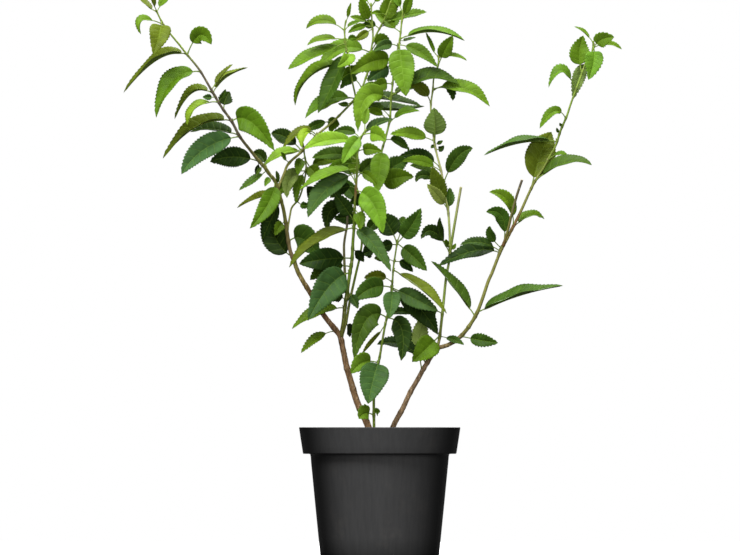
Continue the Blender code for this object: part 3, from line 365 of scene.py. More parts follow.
# How each stem's colour runs from its foot to its tip: share of its length, name of a colour.
STEM_RAMPS = {
    "left_trunk": ((0, "brown"), (0.6, "brown"), (0.8, "rust"), (1, "olive")),
    "arch": ((0, "tan"), (0.16, "olive"), (0.36, "olive"), (0.5, "plum"), (0.74, "plum"), (0.86, "fresh"),
             (1, "fresh")),
    "sprig": ((0, "olive"), (1, "fresh")),
    "side": ((0, "olive"), (0.3, "olive"), (0.6, "fresh"), (1, "fresh")),
    "upright": ((0, "fresh"), (1, "fresh")),
    "crown": ((0, "fresh"), (1, "fresh")),
    "central": ((0, "olive"), (0.3, "grass"), (0.64, "grass"), (0.7, "rust"), (0.76, "grass"),
                (1, "fresh")),
    "slender": ((0, "olive"), (0.4, "grass"), (1, "fresh")),
    "back": ((0, "olive"), (0.5, "grass"), (1, "fresh")),
    "back_stub": ((0, "olive"), (1, "plum")),
    "middle": ((0, "grass"), (0.6, "grass"), (1, "fresh")),
    "right_trunk": ((0, "tan"), (0.75, "tan"), (1, "olive")),
    "inner": ((0, "olive"), (0.15, "fresh"), (0.6, "straw"), (1, "fresh")),
    "inner_stub": ((0, "fresh"), (1, "straw")),
    "outer": ((0, "olive"), (0.3, "olive"), (0.36, "rust"), (0.42, "olive"), (0.7, "grass"), (1, "fresh")),
    "outer_stub": ((0, "rust"), (0.2, "olive"), (1, "plum")),
}
CUT_STEMS = ("back_stub", "inner_stub", "outer_stub")

# A finer blade: columns from edge to edge, rows as shares of its length, and how they sweep back.
COLUMNS = (-1, -0.82, -0.55, -0.28, -0.1, 0, 0.1, 0.28, 0.55, 0.82, 1)
BASE_ROWS = (0, 0.03, 0.07, 0.12, 0.165)
END_ROWS = (0.955, 0.98)
ROW_SWEEP, ROW_SWEEP_POWER = 0.5, 1.25

# Its teeth: how many, how deep at most for its width, how they vary from leaf to leaf and from
# tooth to tooth, and how they grow from its base. TOOTH_ROWS has a tooth's notch, flank and point
# as shares of its step and of its depth.
FEWEST_TEETH, MOST_TEETH = 4, 16
TOOTH_SHARE_MOST = 0.095
LEAF_DEPTHS, TOOTH_DEPTHS = (0.6, 1.15), (0.8, 1.2)
TOOTH_SHIFT = 0.08
FIRST_TOOTH, TOOTH_GROWTH = 0.45, 1.8
TOOTH_ROWS = ((0, -0.55), (0.42, 0.12), (0.84, 0.5))

# Its outline: its half width grows with a power of the distance from its base, for broad and slim
# blades, and with a power of the distance from its tip.
BROAD_BLADE = 0.6
BASE_POWERS, POINT_POWERS = (0.46, 0.62), (0.82, 1.02)
POWER_FACTORS = (0.92, 1.08)
FULLNESS = 1.1
BASE_END = 0.1
BASE_REACH_LEAST, REACH_LEAST = 0.6 * MM, 0.2 * MM

# Its surface: the fold's hollow, the swelling between side veins, which start further on at the
# right half, the edge's waves, the sunk midrib, and how it thins out and lightens to its ends.
USUAL_WIDTH = 20 * MM
FOLD_HOLLOW = 0.35
VEIN_OFFSET = 0.3
SWELL_SIDE_POWER, SWELL_TIP_POWER = 0.8, 0.3
WAVE_TURNS = (1.1, 2.1)
WAVE_END_POWER = 0.5
MIDRIB_SINK, MIDRIB_SINK_WIDTH = 0.30 * MM, 0.07
EDGE_THINNING = 0.55
SMALL_LEAF_THICKNESS = 0.6
MOST_TWIST, TWIST_MIDDLE = 0.15, 0.35
BASE_SHADE, SHADE_RISE = 0.92, 0.16
LIGHT_FACTORS, MOST_WARMTH = (0.84, 1.18), 0.09

# Its stalk, which thickens at its root and runs on under the blade as the midrib's ridge.
ROOT_DEPTH, SINGLE_ROOT_DEPTH = 0.2 * MM, 2.0 * MM
RIB_SIDES = 6
PETIOLE_RINGS, RIDGE_RINGS = 7, 12
RIDGE_END, RIDGE_POWER = 0.97, 1.1
STALK_RADIUS, YOUNG_STALK_RADIUS = 0.68 * MM, 0.5 * MM
GIRTH_LEAST, GIRTH_GROWTH, GIRTH_MOST = 0.65, 0.4, 1.15
RIDGE_START, RIDGE_TIP, RIDGE_TAPER = 0.9, 0.14, 0.75
STALK_FOOT, STALK_FOOT_MIDDLE, STALK_FOOT_LENGTH = 0.55, 1.2 * MM, 1.4 * MM
SINK_START, SINK_SPAN = 0.75, 0.03
RIDGE_DROP, RIDGE_DROP_SHARE = 0.22 * MM, 0.62
RIDGE_BLEND, RIDGE_TINT = 1.6, 0.5
STALK_TINT = 0.45

# The finer stems: their rings, the flare at their foot, the swelling at their joints, the old
# joints and warts of woody ones, the ridges of their bark, and their cut or growing ends.
FINE_STEM_SIDES, FINE_TRUNK_SIDES = 12, 24
FINE_STEM_STEP, FINE_TRUNK_STEP = 1.6 * MM, 0.9 * MM
MAIN_LINE_STEP = 1.0 * MM
FEWEST_RINGS = 8
FOOT_FLARE, FOOT_FLARE_LENGTH = 0.30, 4 * MM
JOINT_LENGTH, JOINT_SHARE, JOINT_HEIGHT = 2.2 * MM, 0.10, 0.22 * MM
JOINT_SHADE = 0.28
OLD_JOINT_STEP, OLD_JOINT_START, OLD_JOINT_SHIFT_MM = 27 * MM, 0.6, 4
OLD_JOINT_LENGTH, OLD_JOINT_SIZE = 2.6 * MM, 0.75
WART_STEP, WART_RADII_MM = 2.4 * MM, (0.6, 1.1)
WART_HEIGHT, WART_SPREAD, WART_RANGE = 0.38, 0.5, 2.5
BARK_ACROSS, BARK_ALONG = 900, 170
FINE_BARK, FINE_BARK_SHARE = 420, 0.6
CUT_RIM, CUT_RIM_RISE, CUT_HEART_RISE = 0.12, 0.12 * MM, 0.02 * MM
TIP_RIM, TIP_RIM_RISE = 0.4, 0.6

# The buds: sides, chance, length, width for their length, lean and place on the stem. BUD_PROFILE
# has shares of a bud's length and width.
BUD_SIDES = 6
BUD_CHANCE = 0.7
BUD_LENGTHS_MM, BUD_WIDTH = (2.2, 3.6), 0.26
BUD_ALONG, BUD_OUT = 0.85, 0.6
BUD_SEAT, BUD_RISE = 0.75, 0.8 * MM
BUD_PROFILE = ((0, 0.6), (0.25, 1.0), (0.55, 0.85), (0.82, 0.4))

SOIL_TOP = 139 * MM

# A piece's material slots, as its faces number them.
BLADE_TOP, BLADE_UNDER, STALK = 0, 1, 2
SKIN, CUT_END = 0, 1


def view_point(x, y, near_mm):
    """A point of the front view as a place in space."""
    return Vector(((x - AXIS_X) * SCALE, -near_mm * MM, (GROUND_Y - y) * SCALE))


def smooth_line(points, step):
    """Points along a Catmull-Rom curve through the given ones, about a step apart."""
    line = [points[0]]
    for i in range(len(points) - 1):
        before = points[max(i - 1, 0)]
        start, end = points[i], points[i + 1]
        after = points[min(i + 2, len(points) - 1)]
        count = max(1, round((end - start).length / step))
        for k in range(1, count + 1):
            t = k / count
            line.append(0.5 * (2 * start + (end - before) * t
                               + (2 * before - 5 * start + 4 * end - after) * t ** 2
                               + (3 * start - before - 3 * end + after) * t ** 3))
    return line


def traced_line(stem):
    """The smooth middle line through a stem's points of the view."""
    return smooth_line([view_point(x, y, near * SPREAD) for x, y, near in stem.points], TRACE_STEP)


def ring_axes(line):
    """For each point of a line two directions across it, which turn smoothly."""
    axes = []
    across = Vector((0, 1, 0))
    for i in range(len(line)):
        along = (line[min(i + 1, len(line) - 1)] - line[max(i - 1, 0)]).normalized()
        across = (across - across.dot(along) * along).normalized()
        axes.append((across, along.cross(across)))
    return axes


def ring_faces(rings, sides):
    """Faces round a row of rings of points, and the first ring's end face."""
    faces = []
    for i in range(rings - 1):
        for k in range(sides):
            a, b = i * sides + k, i * sides + (k + 1) % sides
            faces.append((a, b, b + sides, a + sides))
    faces.append(tuple(range(sides))[::-1])
    return faces


def closed_faces(rings, sides):
    """Faces round a row of rings of points, and both end faces."""
    return ring_faces(rings, sides) + [tuple(range((rings - 1) * sides, rings * sides))]


def tube(line, radii, sides):
    """Points and faces of a closed tube with flat ends."""
    points = []
    for centre, radius, (across, over) in zip(line, radii, ring_axes(line)):
        for k in range(sides):
            turn = math.tau * (k + 0.5) / sides
            points.append(centre + radius * (math.cos(turn) * across + math.sin(turn) * over))
    return points, closed_faces(len(line), sides)


def seat_distance(parent_radius, child_radius, parent_along, child_along):
    """How far out from the parent's middle a child's flat end starts to stay a gap clear of it."""
    lean = abs(parent_along.dot(child_along))
    return (parent_radius + GAP + child_radius * lean) / math.sqrt(max(1 - lean ** 2, LEAST_SINE_SQUARED))


class TracedStem:
    """A stem's middle line in space, its radius along it, and its coarse tube."""

    def __init__(self, stem, parents):
        self.name, self.node = stem.name, stem.node
        self.line = traced_line(stem)
        seated = stem.parent and parents[stem.parent].node != self.node
        if seated:
            self.seat_on(parents[stem.parent], stem.thick_mm * MM / 2)
        self.straighten(seated)
        last = len(self.line) - 1
        self.radii = [(stem.thick_mm + (stem.thin_mm - stem.thick_mm) * i / last) * MM / 2
                      for i in range(last + 1)]

    def straighten(self, seated):
        """Picks the points where the tube has its rings, and makes the line straight between them."""
        last = len(self.line) - 1
        count = max(2, round(last * TRACE_STEP / STEM_STEP))
        self.picks = [round(last * i / count) for i in range(count + 1)]
        if seated:
            self.picks.insert(1, 1)
        for a, b in zip(self.picks, self.picks[1:]):
            start, end = self.line[a], self.line[b]
            for i in range(a + 1, b):
                self.line[i] = start.lerp(end, (i - a) / (b - a))

    def seat_on(self, parent, radius):
        """Cuts the line back to where it starts on the parent's end or side."""
        root = self.line[0]
        if (root - parent.line[-1]).length < 2 * TRACE_STEP:
            along = (parent.line[-1] - parent.line[-2]).normalized()
            self.line[0] = parent.line[-1] + GAP * along
            self.line[1] = self.line[0] + TRACE_STEP * along
            return
        place, reach, parent_along = parent.nearest(root)
        along = (self.line[STEPS_AHEAD] - self.line[0]).normalized()
        out = seat_distance(reach, radius, parent_along, along)
        while (self.line[0] - place).length < out:
            self.line.pop(0)
        along = (self.line[0] - place).normalized()
        self.line[0] = place + seat_distance(reach, radius, parent_along, along) * along
        self.line[1] = self.line[0] + TRACE_STEP * along

    def nearest(self, point):
        """The middle line's point that looks nearest in the front view, its radius and direction."""
        def apart(i):
            step = self.line[i] - point
            return step.x ** 2 + step.z ** 2

        i = min(range(len(self.line)), key=apart)
        ahead, behind = self.line[min(i + 1, len(self.line) - 1)], self.line[max(i - 1, 0)]
        return self.line[i], self.radii[i], (ahead - behind).normalized()

    def solid(self):
        """Points and faces of the coarse tube."""
        sides = TRUNK_SIDES if self.name.endswith("trunk") else STEM_SIDES
        return tube([self.line[i] for i in self.picks], [self.radii[i] for i in self.picks], sides)


class TracedLeaf:
    """A leaf's midrib, how wide it is and which way its upper face looks."""

    def __init__(self, leaf, stem, seated, swing_mm=0, roll=0.0):
        root, reach, stem_along = stem.nearest(view_point(leaf.root_x, leaf.root_y, 0))
        near = leaf.near + swing_mm
        seat_near = -root.y / MM
        tip = view_point(leaf.tip_x, leaf.tip_y, seat_near + near)
        bend = view_point(leaf.bend_x, leaf.bend_y, seat_near + BEND_NEAR_SHARE * near)
        along = (bend - root).normalized()
        if seated:
            root = root + seat_distance(reach, PETIOLE_HALF_WIDTH, stem_along, along) * along
        else:
            root = root - ROOT_DEPTH_SHARE * reach * along
        self.curve = (root, bend, tip)
        self.length = sum((self.at((i + 1) / LENGTH_STEPS) - self.at(i / LENGTH_STEPS)).length
                          for i in range(LENGTH_STEPS))
        self.petiole = min(PETIOLE_SHARE_MOST, PETIOLE_LENGTH / self.length)
        blade = self.length * (1 - self.petiole)
        seen = abs(leaf.seen) * SCALE
        self.width = max(seen, SLIMMEST_BLADE * blade)
        self.roll = math.asin(seen / self.width) * (1 if leaf.seen > 0 else -1) + roll
        self.lean = 1 if leaf.tip_x >= leaf.root_x else -1
        rise = self.width / 2 * math.sin(FOLD)
        self.curve = (root, bend - rise * self.axes(0.5)[1], tip)
        teeth = LONG_TEETH if self.length > LONG_LEAF else MIDDLE_TEETH
        self.teeth = teeth if self.length > SHORT_LEAF else SHORT_TEETH

    def at(self, t):
        """The midrib's point at the share t of the way from the root to the tip."""
        root, bend, tip = self.curve
        return (1 - t) ** 2 * root + 2 * t * (1 - t) * bend + t ** 2 * tip

    def axes(self, t):
        """The midrib's direction, the way the upper face looks and the way across the blade."""
        root, bend, tip = self.curve
        along = ((1 - t) * (bend - root) + t * (tip - bend)).normalized()
        top = along.cross(TO_VIEWER) * -self.lean
        if top.length < LEAST_CROSS:
            top = Vector((0, 0, 1))
        top.normalize()
        front = top.cross(along).normalized()
        if front.dot(TO_VIEWER) < 0:
            front = -front
        face = (math.cos(self.roll) * top + math.sin(self.roll) * front).normalized()
        return along, face, along.cross(face)

    def blade_t(self, s):
        """The share of the midrib at the share s of the blade."""
        return self.petiole + s * (1 - self.petiole)

    def half_width(self, s):
        """Half the blade's width at the share s of the blade."""
        def swell(share):
            return share ** EDGE_BASE_POWER * (1 - share) ** EDGE_TIP_POWER

        return max(PETIOLE_HALF_WIDTH, self.width / 2 * swell(s) / swell(WIDEST_STATION))

    def edge_stations(self):
        """The blade's edge from its base to the last tooth: share of the blade, width factor."""
        stations = [(0.0, 0.0), (SHOULDER_STATION, 1.0)]
        step = (TEETH_END - TEETH_START) / self.teeth
        for k in range(self.teeth):
            start = TEETH_START + k * step
            stations += [(start, TOOTH_IN), (start + TOOTH_LEAN * step, TOOTH_OUT)]
        return stations

    def solid(self, grow=0.0, bare_root=False):
        """Points and faces of the leaf: a thin stalk, and a blade with two folded halves whose
        top and bottom are split alike and meet in a toothed edge."""
        points, faces = [], []

        def corner(t, out, up):
            _, face, across = self.axes(t)
            points.append(self.at(t) + out * across + up * face)
            return len(points) - 1

        rings = []
        for t, half in ((BARE_STALK_SHARE * self.petiole if bare_root else 0.0, ROOT_HALF_WIDTH + grow),
                        (self.petiole, PETIOLE_HALF_WIDTH + grow)):
            rings.append([corner(t, -half, 0), corner(t, 0, half), corner(t, half, 0), corner(t, 0, -half)])
        faces.append(tuple(rings[0]))
        for ring, after in zip(rings, rings[1:]):
            for k in range(4):
                faces.append((ring[k], ring[(k + 1) % 4], after[(k + 1) % 4], after[k]))
        tip = corner(1.0, 0, 0)
        if grow:
            points[tip] = points[tip] + grow * self.axes(1.0)[0]
        ribs = {}
        for side, start in ((1, rings[-1][1]), (-1, rings[-1][3])):
            ribs[side] = [(0.0, start)]
            for s in RIB_STATIONS:
                slim = RIB_HALF_THICKNESS + (TIP_HALF_THICKNESS - RIB_HALF_THICKNESS) * s + grow
                ribs[side].append((s, corner(self.blade_t(s), 0, side * slim)))
            ribs[side].append((1.0, tip))
        edges = {}
        for hand, start in ((-1, rings[-1][0]), (1, rings[-1][2])):
            edges[hand] = [(0.0, start)]
            for s, factor in self.edge_stations()[1:]:
                reach = self.half_width(s) * factor + grow
                edges[hand].append((s, corner(self.blade_t(s), hand * reach * math.cos(FOLD),
                                              reach * math.sin(FOLD))))
            edges[hand].append((1.0, tip))
        for rib in ribs.values():
            for edge in edges.values():
                faces += strip(rib, edge)
        return points, faces


def strip(rib, edge):
    """Triangles between two rows of (share, point) that start and end together."""
    faces = []
    i = j = 0
    while i < len(rib) - 1 or j < len(edge) - 1:
        rib_next = rib[i + 1][0] if i < len(rib) - 1 else math.inf
        edge_next = edge[j + 1][0] if j < len(edge) - 1 else math.inf
        if edge_next <= rib_next:
            corners = (rib[i][1], edge[j][1], edge[j + 1][1])
            j += 1
        else:
            corners = (rib[i][1], edge[j][1], rib[i + 1][1])
            i += 1
        if len(set(corners)) == 3:
            faces.append(corners)
    return faces


def tree_of(solid):
    points, faces = solid
    return BVHTree.FromPolygons(points, faces)


def crosses_itself(solid):
    """Whether two faces of a solid that share no corner meet."""
    faces = solid[1]
    tree = tree_of(solid)
    return any(a < b and not set(faces[a]) & set(faces[b]) for a, b in tree.overlap(tree))


def is_clear(leaf, own_stem, trees, own_tree):
    """Whether a leaf, a little larger than life, touches nothing but the stem it grows from."""
    if crosses_itself(leaf.solid()):
        return False
    body = tree_of(leaf.solid(CLEARANCE, bare_root=True))
    if any(body.overlap(tree) for name, tree in trees if name != own_stem):
        return False
    return leaf.length < SHORT_LEAF or not own_tree.overlap(body)


def place_leaf(leaf, stem, seated, trees, own_tree):
    """The leaf as traced or, where it would cross something, swung and rolled until it is clear."""
    for roll in ROLLS:
        for swing in SWINGS:
            placed = TracedLeaf(leaf, stem, seated, swing, math.radians(roll))
            if is_clear(placed, stem.name, trees, own_tree):
                return placed
    raise RuntimeError(f"a leaf of {stem.name} found no clear place: {leaf}")


@functools.cache
def grown():
    """The plant's stems and leaves as the solids have them, and each leaf's tone and stem."""
    stems = {}
    for stem in STEMS:
        stems[stem.name] = TracedStem(stem, stems)
    trees = [(name, tree_of(stem.solid())) for name, stem in stems.items()]
    own = dict(trees)
    wanted = [(stems[name].node, name, row, False, tone)
              for name, rows in LEAVES.items() for row, tone in zip(rows, LEAF_TONES[name], strict=True)]
    wanted += [(node, name, row, True, tone)
               for (node, name, row), tone in zip(WOOD_LEAVES, WOOD_LEAF_TONES, strict=True)]
    leaves = {}
    for node, name, row, seated, tone in wanted:
        placed = place_leaf(Leaf(*row), stems[name], seated, trees, own[name])
        trees.append(("leaf", tree_of(placed.solid())))
        leaves.setdefault(node, []).append((placed, name, tone, False))
    for name, rows in YOUNG_LEAVES.items():
        for row in rows:
            young = TracedLeaf(Leaf(*row), stems[name], False)
            leaves.setdefault(stems[name].node, []).append((young, name, YOUNG_LEAF_TONE, True))
    return stems, leaves


def colour_property(name, description, default):
    return FloatVectorProperty(name=name, description=description, default=default,
                               subtype="COLOR", min=0, max=1)


def length_property(name, description, default, most):
    return FloatProperty(name=name, description=description, default=default, min=0, max=most,
                         unit="LENGTH", subtype="DISTANCE", precision=5)


class ForsythiaSizes(bpy.types.PropertyGroup):
    """Sizes of the details that the render adds."""

    tooth_spacing: length_property("Tooth Spacing", "Length of a leaf's edge from tooth to tooth",
                                   3.4 * MM, 20 * MM)
    tooth_depth: length_property("Tooth Depth", "Depth of the notches between a leaf's teeth",
                                 1.4 * MM, 5 * MM)
    blade_thickness: length_property("Blade Thickness", "Thickness of a leaf's blade", 0.4 * MM, 3 * MM)
    quilting: length_property("Quilting", "How far the blade swells between its veins", 0.26 * MM, 5 * MM)
    wave: length_property("Wave", "How far the blade's edge waves", 0.8 * MM, 5 * MM)
    bark_depth: length_property("Bark Depth", "Depth of the ridges in the trunks' bark", 0.22 * MM, 2 * MM)
    soil_lump: length_property("Soil Lumps", "Height of the soil's lumps", 2.2 * MM, 10 * MM)
    vein_pairs: IntProperty(name="Vein Pairs", description="Side veins on each half of a leaf",
                            default=7, min=2, max=20)


class ForsythiaColours(bpy.types.PropertyGroup):
    """Colours of the plant and its pot."""

    # Painted shade: the darkest tone stands for leaves in the shade deep in the plant.
    darkest_shaded: colour_property("Darkest Leaf", "Leaves deep in the plant", (0.020, 0.047, 0.006))
    # Partly the old leaves' own colour and partly painted shade for leaves low in the plant and behind it.
    dark: colour_property("Dark Leaf", "Old leaves", (0.043, 0.094, 0.008))
    middle: colour_property("Middle Leaf", "Grown leaves", (0.082, 0.160, 0.006))
    # Partly the young leaves' own colour and partly painted light for leaves in full light.
    bright: colour_property("Bright Leaf", "Young leaves in full light", (0.118, 0.236, 0.014))
    yellow: colour_property("Yellow-Green Leaf", "Youngest leaves", (0.170, 0.296, 0.015))
    pale: colour_property("Pale Leaf", "Leaves seen from below", (0.250, 0.340, 0.075))
    # Painted sheen: the grey-green stands for the soft reflection on satin leaves that face the light.
    grey: colour_property("Grey-Green Leaf", "Satin leaves that face the light", (0.052, 0.115, 0.026))
    # Painted shade: the olive stands for leaves that turn their edge to the light.
    olive_shaded_leaf: colour_property("Olive Leaf", "Leaves that turn their edge to the light",
                                (0.100, 0.135, 0.008))
    brown: colour_property("Brown Bark", "The left trunk", (0.310, 0.185, 0.092))
    tan: colour_property("Tan Bark", "The right trunk and the cut twigs", (0.330, 0.222, 0.122))
    rust: colour_property("Rust Bark", "Bark at the forks", (0.230, 0.115, 0.045))
    plum: colour_property("Plum Bark", "The arching shoot's ripening bark", (0.150, 0.125, 0.080))
    olive: colour_property("Olive Bark", "Ripening green bark", (0.200, 0.200, 0.045))
    grass: colour_property("Green Stem", "Green stems", (0.150, 0.230, 0.025))
    fresh: colour_property("Fresh Stem", "Young shoots and leaf stalks", (0.255, 0.365, 0.055))
    straw: colour_property("Straw Stem", "The cut stub's dry top", (0.420, 0.430, 0.180))
    cut_wood: colour_property("Cut Wood", "Ends of the cut stems", (0.560, 0.470, 0.280))
    # The pot's colour is lifted to that of its lit middle, a painted highlight; the pot's material darkens
    # it toward the sides as painted shade.
    plastic: colour_property("Pot Plastic", "The pot", (0.056, 0.056, 0.0565))
    compost: colour_property("Compost", "The soil", (0.050, 0.031, 0.019))
    floor: colour_property("Floor", "The pale floor", (0.860, 0.860, 0.860))


TONE_FIELDS = {"K": "darkest_shaded", "D": "dark", "M": "middle", "B": "bright", "Y": "yellow",
               "P": "pale", "G": "grey", "O": "olive_shaded_leaf"}

# Colours that the materials mix in.
UNDERSIDE = (0.26, 0.38, 0.09, 1)
UPPER_VEINS, UNDER_VEINS = (0.19, 0.30, 0.03, 1), (0.34, 0.46, 0.14, 1)
GREEN_WARTS, BARK_WARTS = (0.40, 0.36, 0.17, 1), (0.47, 0.36, 0.23, 1)
POT_DUST = (0.30, 0.25, 0.20, 1)
COMPOST_FIBRES = (0.17, 0.11, 0.065, 1)
# The floor's near-black colour for every ray but the camera's, so that it throws no light back up.
FLOOR_IN_LIGHT = (0.05, 0.05, 0.05, 1)
WHITE = (1, 1, 1, 1)


def sizes():
    return bpy.context.scene.forsythia_sizes


def colours():
    return bpy.context.scene.forsythia_colours


def link(item):
    bpy.context.scene.collection.objects.link(item)


def settle(piece, node):
    """Makes a finished piece ride on the part and stand for a node of the solids, whose part it hides."""
    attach(piece, BODY)
    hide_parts(node)


def mesh_piece(name, points, faces, materials, slots=None, values=None):
    """A linked object from arrays, with a material for each face and named values at its points."""
    mesh = bpy.data.meshes.new(name)
    mesh.from_pydata(points, [], faces)
    for material in materials:
        mesh.materials.append(material)
    if slots is not None:
        mesh.polygons.foreach_set("material_index", slots)
    for value, (kind, field, numbers) in (values or {}).items():
        layer = mesh.attributes.new(value, kind, "POINT")
        layer.data.foreach_set(field, np.asarray(numbers, np.float32).ravel())
    mesh.shade_smooth()
    mesh.validate()
    mesh.update()
    piece = bpy.data.objects.new(name, mesh)
    link(piece)
    return piece


# Materials.

def shader_group(name, inputs, outputs):
    """An empty shader node group with number inputs and outputs, and its two end nodes."""
    group = bpy.data.node_groups.new(name, "ShaderNodeTree")
    for title, default in inputs:
        socket = group.interface.new_socket(title, in_out="INPUT", socket_type="NodeSocketFloat")
        socket.default_value = default
    for title in outputs:
        group.interface.new_socket(title, in_out="OUTPUT", socket_type="NodeSocketFloat")
    start = group.nodes.new("NodeGroupInput")
    end = group.nodes.new("NodeGroupOutput")
    return group, start.outputs, end


def feed(tree, node, inputs):
    """Sets a node's inputs to numbers or links them to sockets."""
    for key, value in inputs.items():
        if isinstance(value, bpy.types.NodeSocket):
            tree.links.new(value, node.inputs[key])
        else:
            node.inputs[key].default_value = value


def put(tree, kind, inputs=None, **settings):
    """A new node with its settings and inputs."""
    made = tree.nodes.new(kind)
    for key, value in settings.items():
        setattr(made, key, value)
    feed(tree, made, inputs or {})
    return made


def maths(tree, operation, a, b=0.0):
    return put(tree, "ShaderNodeMath", {0: a, 1: b}, operation=operation).outputs[0]


def ramp_to(tree, value, span, ends=(0.0, 1.0)):
    """A value mapped smoothly and clamped from a span to its two ends."""
    made = put(tree, "ShaderNodeMapRange", {"Value": value, "From Min": span[0], "From Max": span[1],
                                            "To Min": ends[0], "To Max": ends[1]},
               interpolation_type="SMOOTHSTEP")
    return made.outputs["Result"]


def colour_mix(tree, blend, factor, a, b):
    return put(tree, "ShaderNodeMix", {0: factor, 6: a, 7: b}, data_type="RGBA",
               blend_type=blend).outputs[2]


def grey(tree, value):
    """A number as a grey colour."""
    return put(tree, "ShaderNodeCombineColor", {0: value, 1: value, 2: value}).outputs[0]


def shaded(tree, colour, value, span, ends):
    """A colour made darker or lighter as a value runs through a span."""
    return colour_mix(tree, "MULTIPLY", 1.0, colour, grey(tree, ramp_to(tree, value, span, ends)))


def bump(tree, height, distance):
    return put(tree, "ShaderNodeBump", {"Height": height, "Distance": distance}).outputs["Normal"]


def object_place(tree):
    return put(tree, "ShaderNodeTexCoord").outputs["Object"]


def tint_of(tree):
    return put(tree, "ShaderNodeAttribute", attribute_name="tint").outputs["Color"]


def noise_of(tree, place, scale, detail, rough=0.55):
    made = put(tree, "ShaderNodeTexNoise", {"Vector": place, "Scale": scale, "Detail": detail,
                                            "Roughness": rough})
    return made.outputs["Fac"]


def upright(tree, place, along):
    """Object coordinates scaled along the stems, so that a pattern runs up them."""
    made = put(tree, "ShaderNodeMapping", {"Vector": place, "Scale": (1, 1, along)})
    return made.outputs["Vector"]


@functools.cache
def leaf_pattern():
    """Midrib, side veins and fine net of a leaf, from the blade values that its points carry: how
    far out from -1 to 1, the share of its length, and its half width in centimetres."""
    group, given, end = shader_group(
        "Leaf Pattern", (("Vein Pairs", 7.0), ("Vein Width", 0.1), ("Net Scale", 800.0)),
        ("Veins", "Height", "Mottle"))
    blade = put(group, "ShaderNodeAttribute", attribute_name="blade").outputs["Vector"]
    parts = put(group, "ShaderNodeSeparateXYZ", {0: blade}).outputs
    aside = maths(group, "ABSOLUTE", parts["X"])
    from_midrib = maths(group, "MULTIPLY", aside, parts["Z"])
    midrib = ramp_to(group, from_midrib, span=(0.03, 0.075), ends=(1.0, 0.0))
    offset = maths(group, "MULTIPLY", maths(group, "GREATER_THAN", parts["X"], 0.0), VEIN_OFFSET)
    run = maths(group, "MULTIPLY", parts["Y"], given["Vein Pairs"])
    phase = maths(group, "FRACT", maths(group, "ADD", run, offset))
    near = maths(group, "MINIMUM", phase, maths(group, "SUBTRACT", 1.0, phase))
    reach = maths(group, "MULTIPLY", given["Vein Width"], maths(group, "SUBTRACT", 1.35, aside))
    side_veins = ramp_to(group, maths(group, "DIVIDE", near, reach), span=(0.15, 1.0), ends=(0.75, 0.0))
    place = object_place(group)
    cells = put(group, "ShaderNodeTexVoronoi", {"Vector": place, "Scale": given["Net Scale"]},
                feature="DISTANCE_TO_EDGE").outputs["Distance"]
    net = ramp_to(group, cells, span=(0.0, 0.11), ends=(0.06, 0.0))
    veins = maths(group, "MAXIMUM", maths(group, "MAXIMUM", midrib, side_veins), net)
    fine = maths(group, "MULTIPLY", noise_of(group, place, scale=1600.0, detail=2.0), 0.04)
    feed(group, end, {"Veins": veins, "Height": maths(group, "SUBTRACT", fine, veins),
                      "Mottle": noise_of(group, place, scale=95.0, detail=4.0)})
    return group


@functools.cache
def bark_pattern():
    """Streaks and small warts that run round a stem."""
    group, given, end = shader_group(
        "Bark Pattern", (("Streak Scale", 400.0), ("Wart Scale", 330.0), ("Wart Share", 0.5)),
        ("Streaks", "Warts", "Height"))
    place = object_place(group)
    streaks = noise_of(group, upright(group, place, along=0.16), given["Streak Scale"], detail=5.0,
                       rough=0.65)
    dots = put(group, "ShaderNodeTexVoronoi", {"Vector": upright(group, place, along=0.55),
                                               "Scale": given["Wart Scale"]}).outputs
    chance = put(group, "ShaderNodeSeparateColor", {0: dots["Color"]}).outputs[0]
    warts = maths(group, "MULTIPLY", maths(group, "LESS_THAN", chance, given["Wart Share"]),
                  ramp_to(group, dots["Distance"], span=(0.16, 0.34), ends=(1.0, 0.0)))
    height = maths(group, "ADD", streaks, maths(group, "MULTIPLY", warts, 0.6))
    feed(group, end, {"Streaks": streaks, "Warts": warts, "Height": height})
    return group


def new_material(name):
    """A material with its node tree and its Principled shader."""
    material = bpy.data.materials.new(name)
    material.use_nodes = True
    return material, material.node_tree, material.node_tree.nodes["Principled BSDF"]


def leaf_material(name, vein_colour, vein_share, paler, roughness, relief):
    """A leaf's skin: its own tint, mottled, with paler veins that are sunk or raised."""
    material, tree, shader = new_material(name)
    pattern = put(tree, "ShaderNodeGroup", node_tree=leaf_pattern())
    feed(tree, pattern, {"Vein Pairs": sizes().vein_pairs})
    mottle = pattern.outputs["Mottle"]
    skin = shaded(tree, tint_of(tree), mottle, span=(0.25, 0.75), ends=(0.8, 1.2))
    if paler:
        skin = colour_mix(tree, "MIX", paler, skin, UNDERSIDE)
    veins = maths(tree, "MULTIPLY", pattern.outputs["Veins"], vein_share)
    height = maths(tree, "MULTIPLY", pattern.outputs["Height"], relief)
    feed(tree, shader, {
        "Base Color": colour_mix(tree, "MIX", veins, skin, vein_colour),
        "Roughness": ramp_to(tree, mottle, span=(0.3, 0.7), ends=(roughness - 0.05, roughness + 0.07)),
        "Specular IOR Level": 0.08,
        "Normal": bump(tree, height, 0.25 * MM),
    })
    return material


@functools.cache
def leaf_upper():
    return leaf_material("leaf_upper", UPPER_VEINS, vein_share=0.22, paler=0.0, roughness=0.46, relief=1.0)


@functools.cache
def leaf_under():
    return leaf_material("leaf_under", UNDER_VEINS, vein_share=0.40, paler=0.30, roughness=0.60, relief=-1.0)


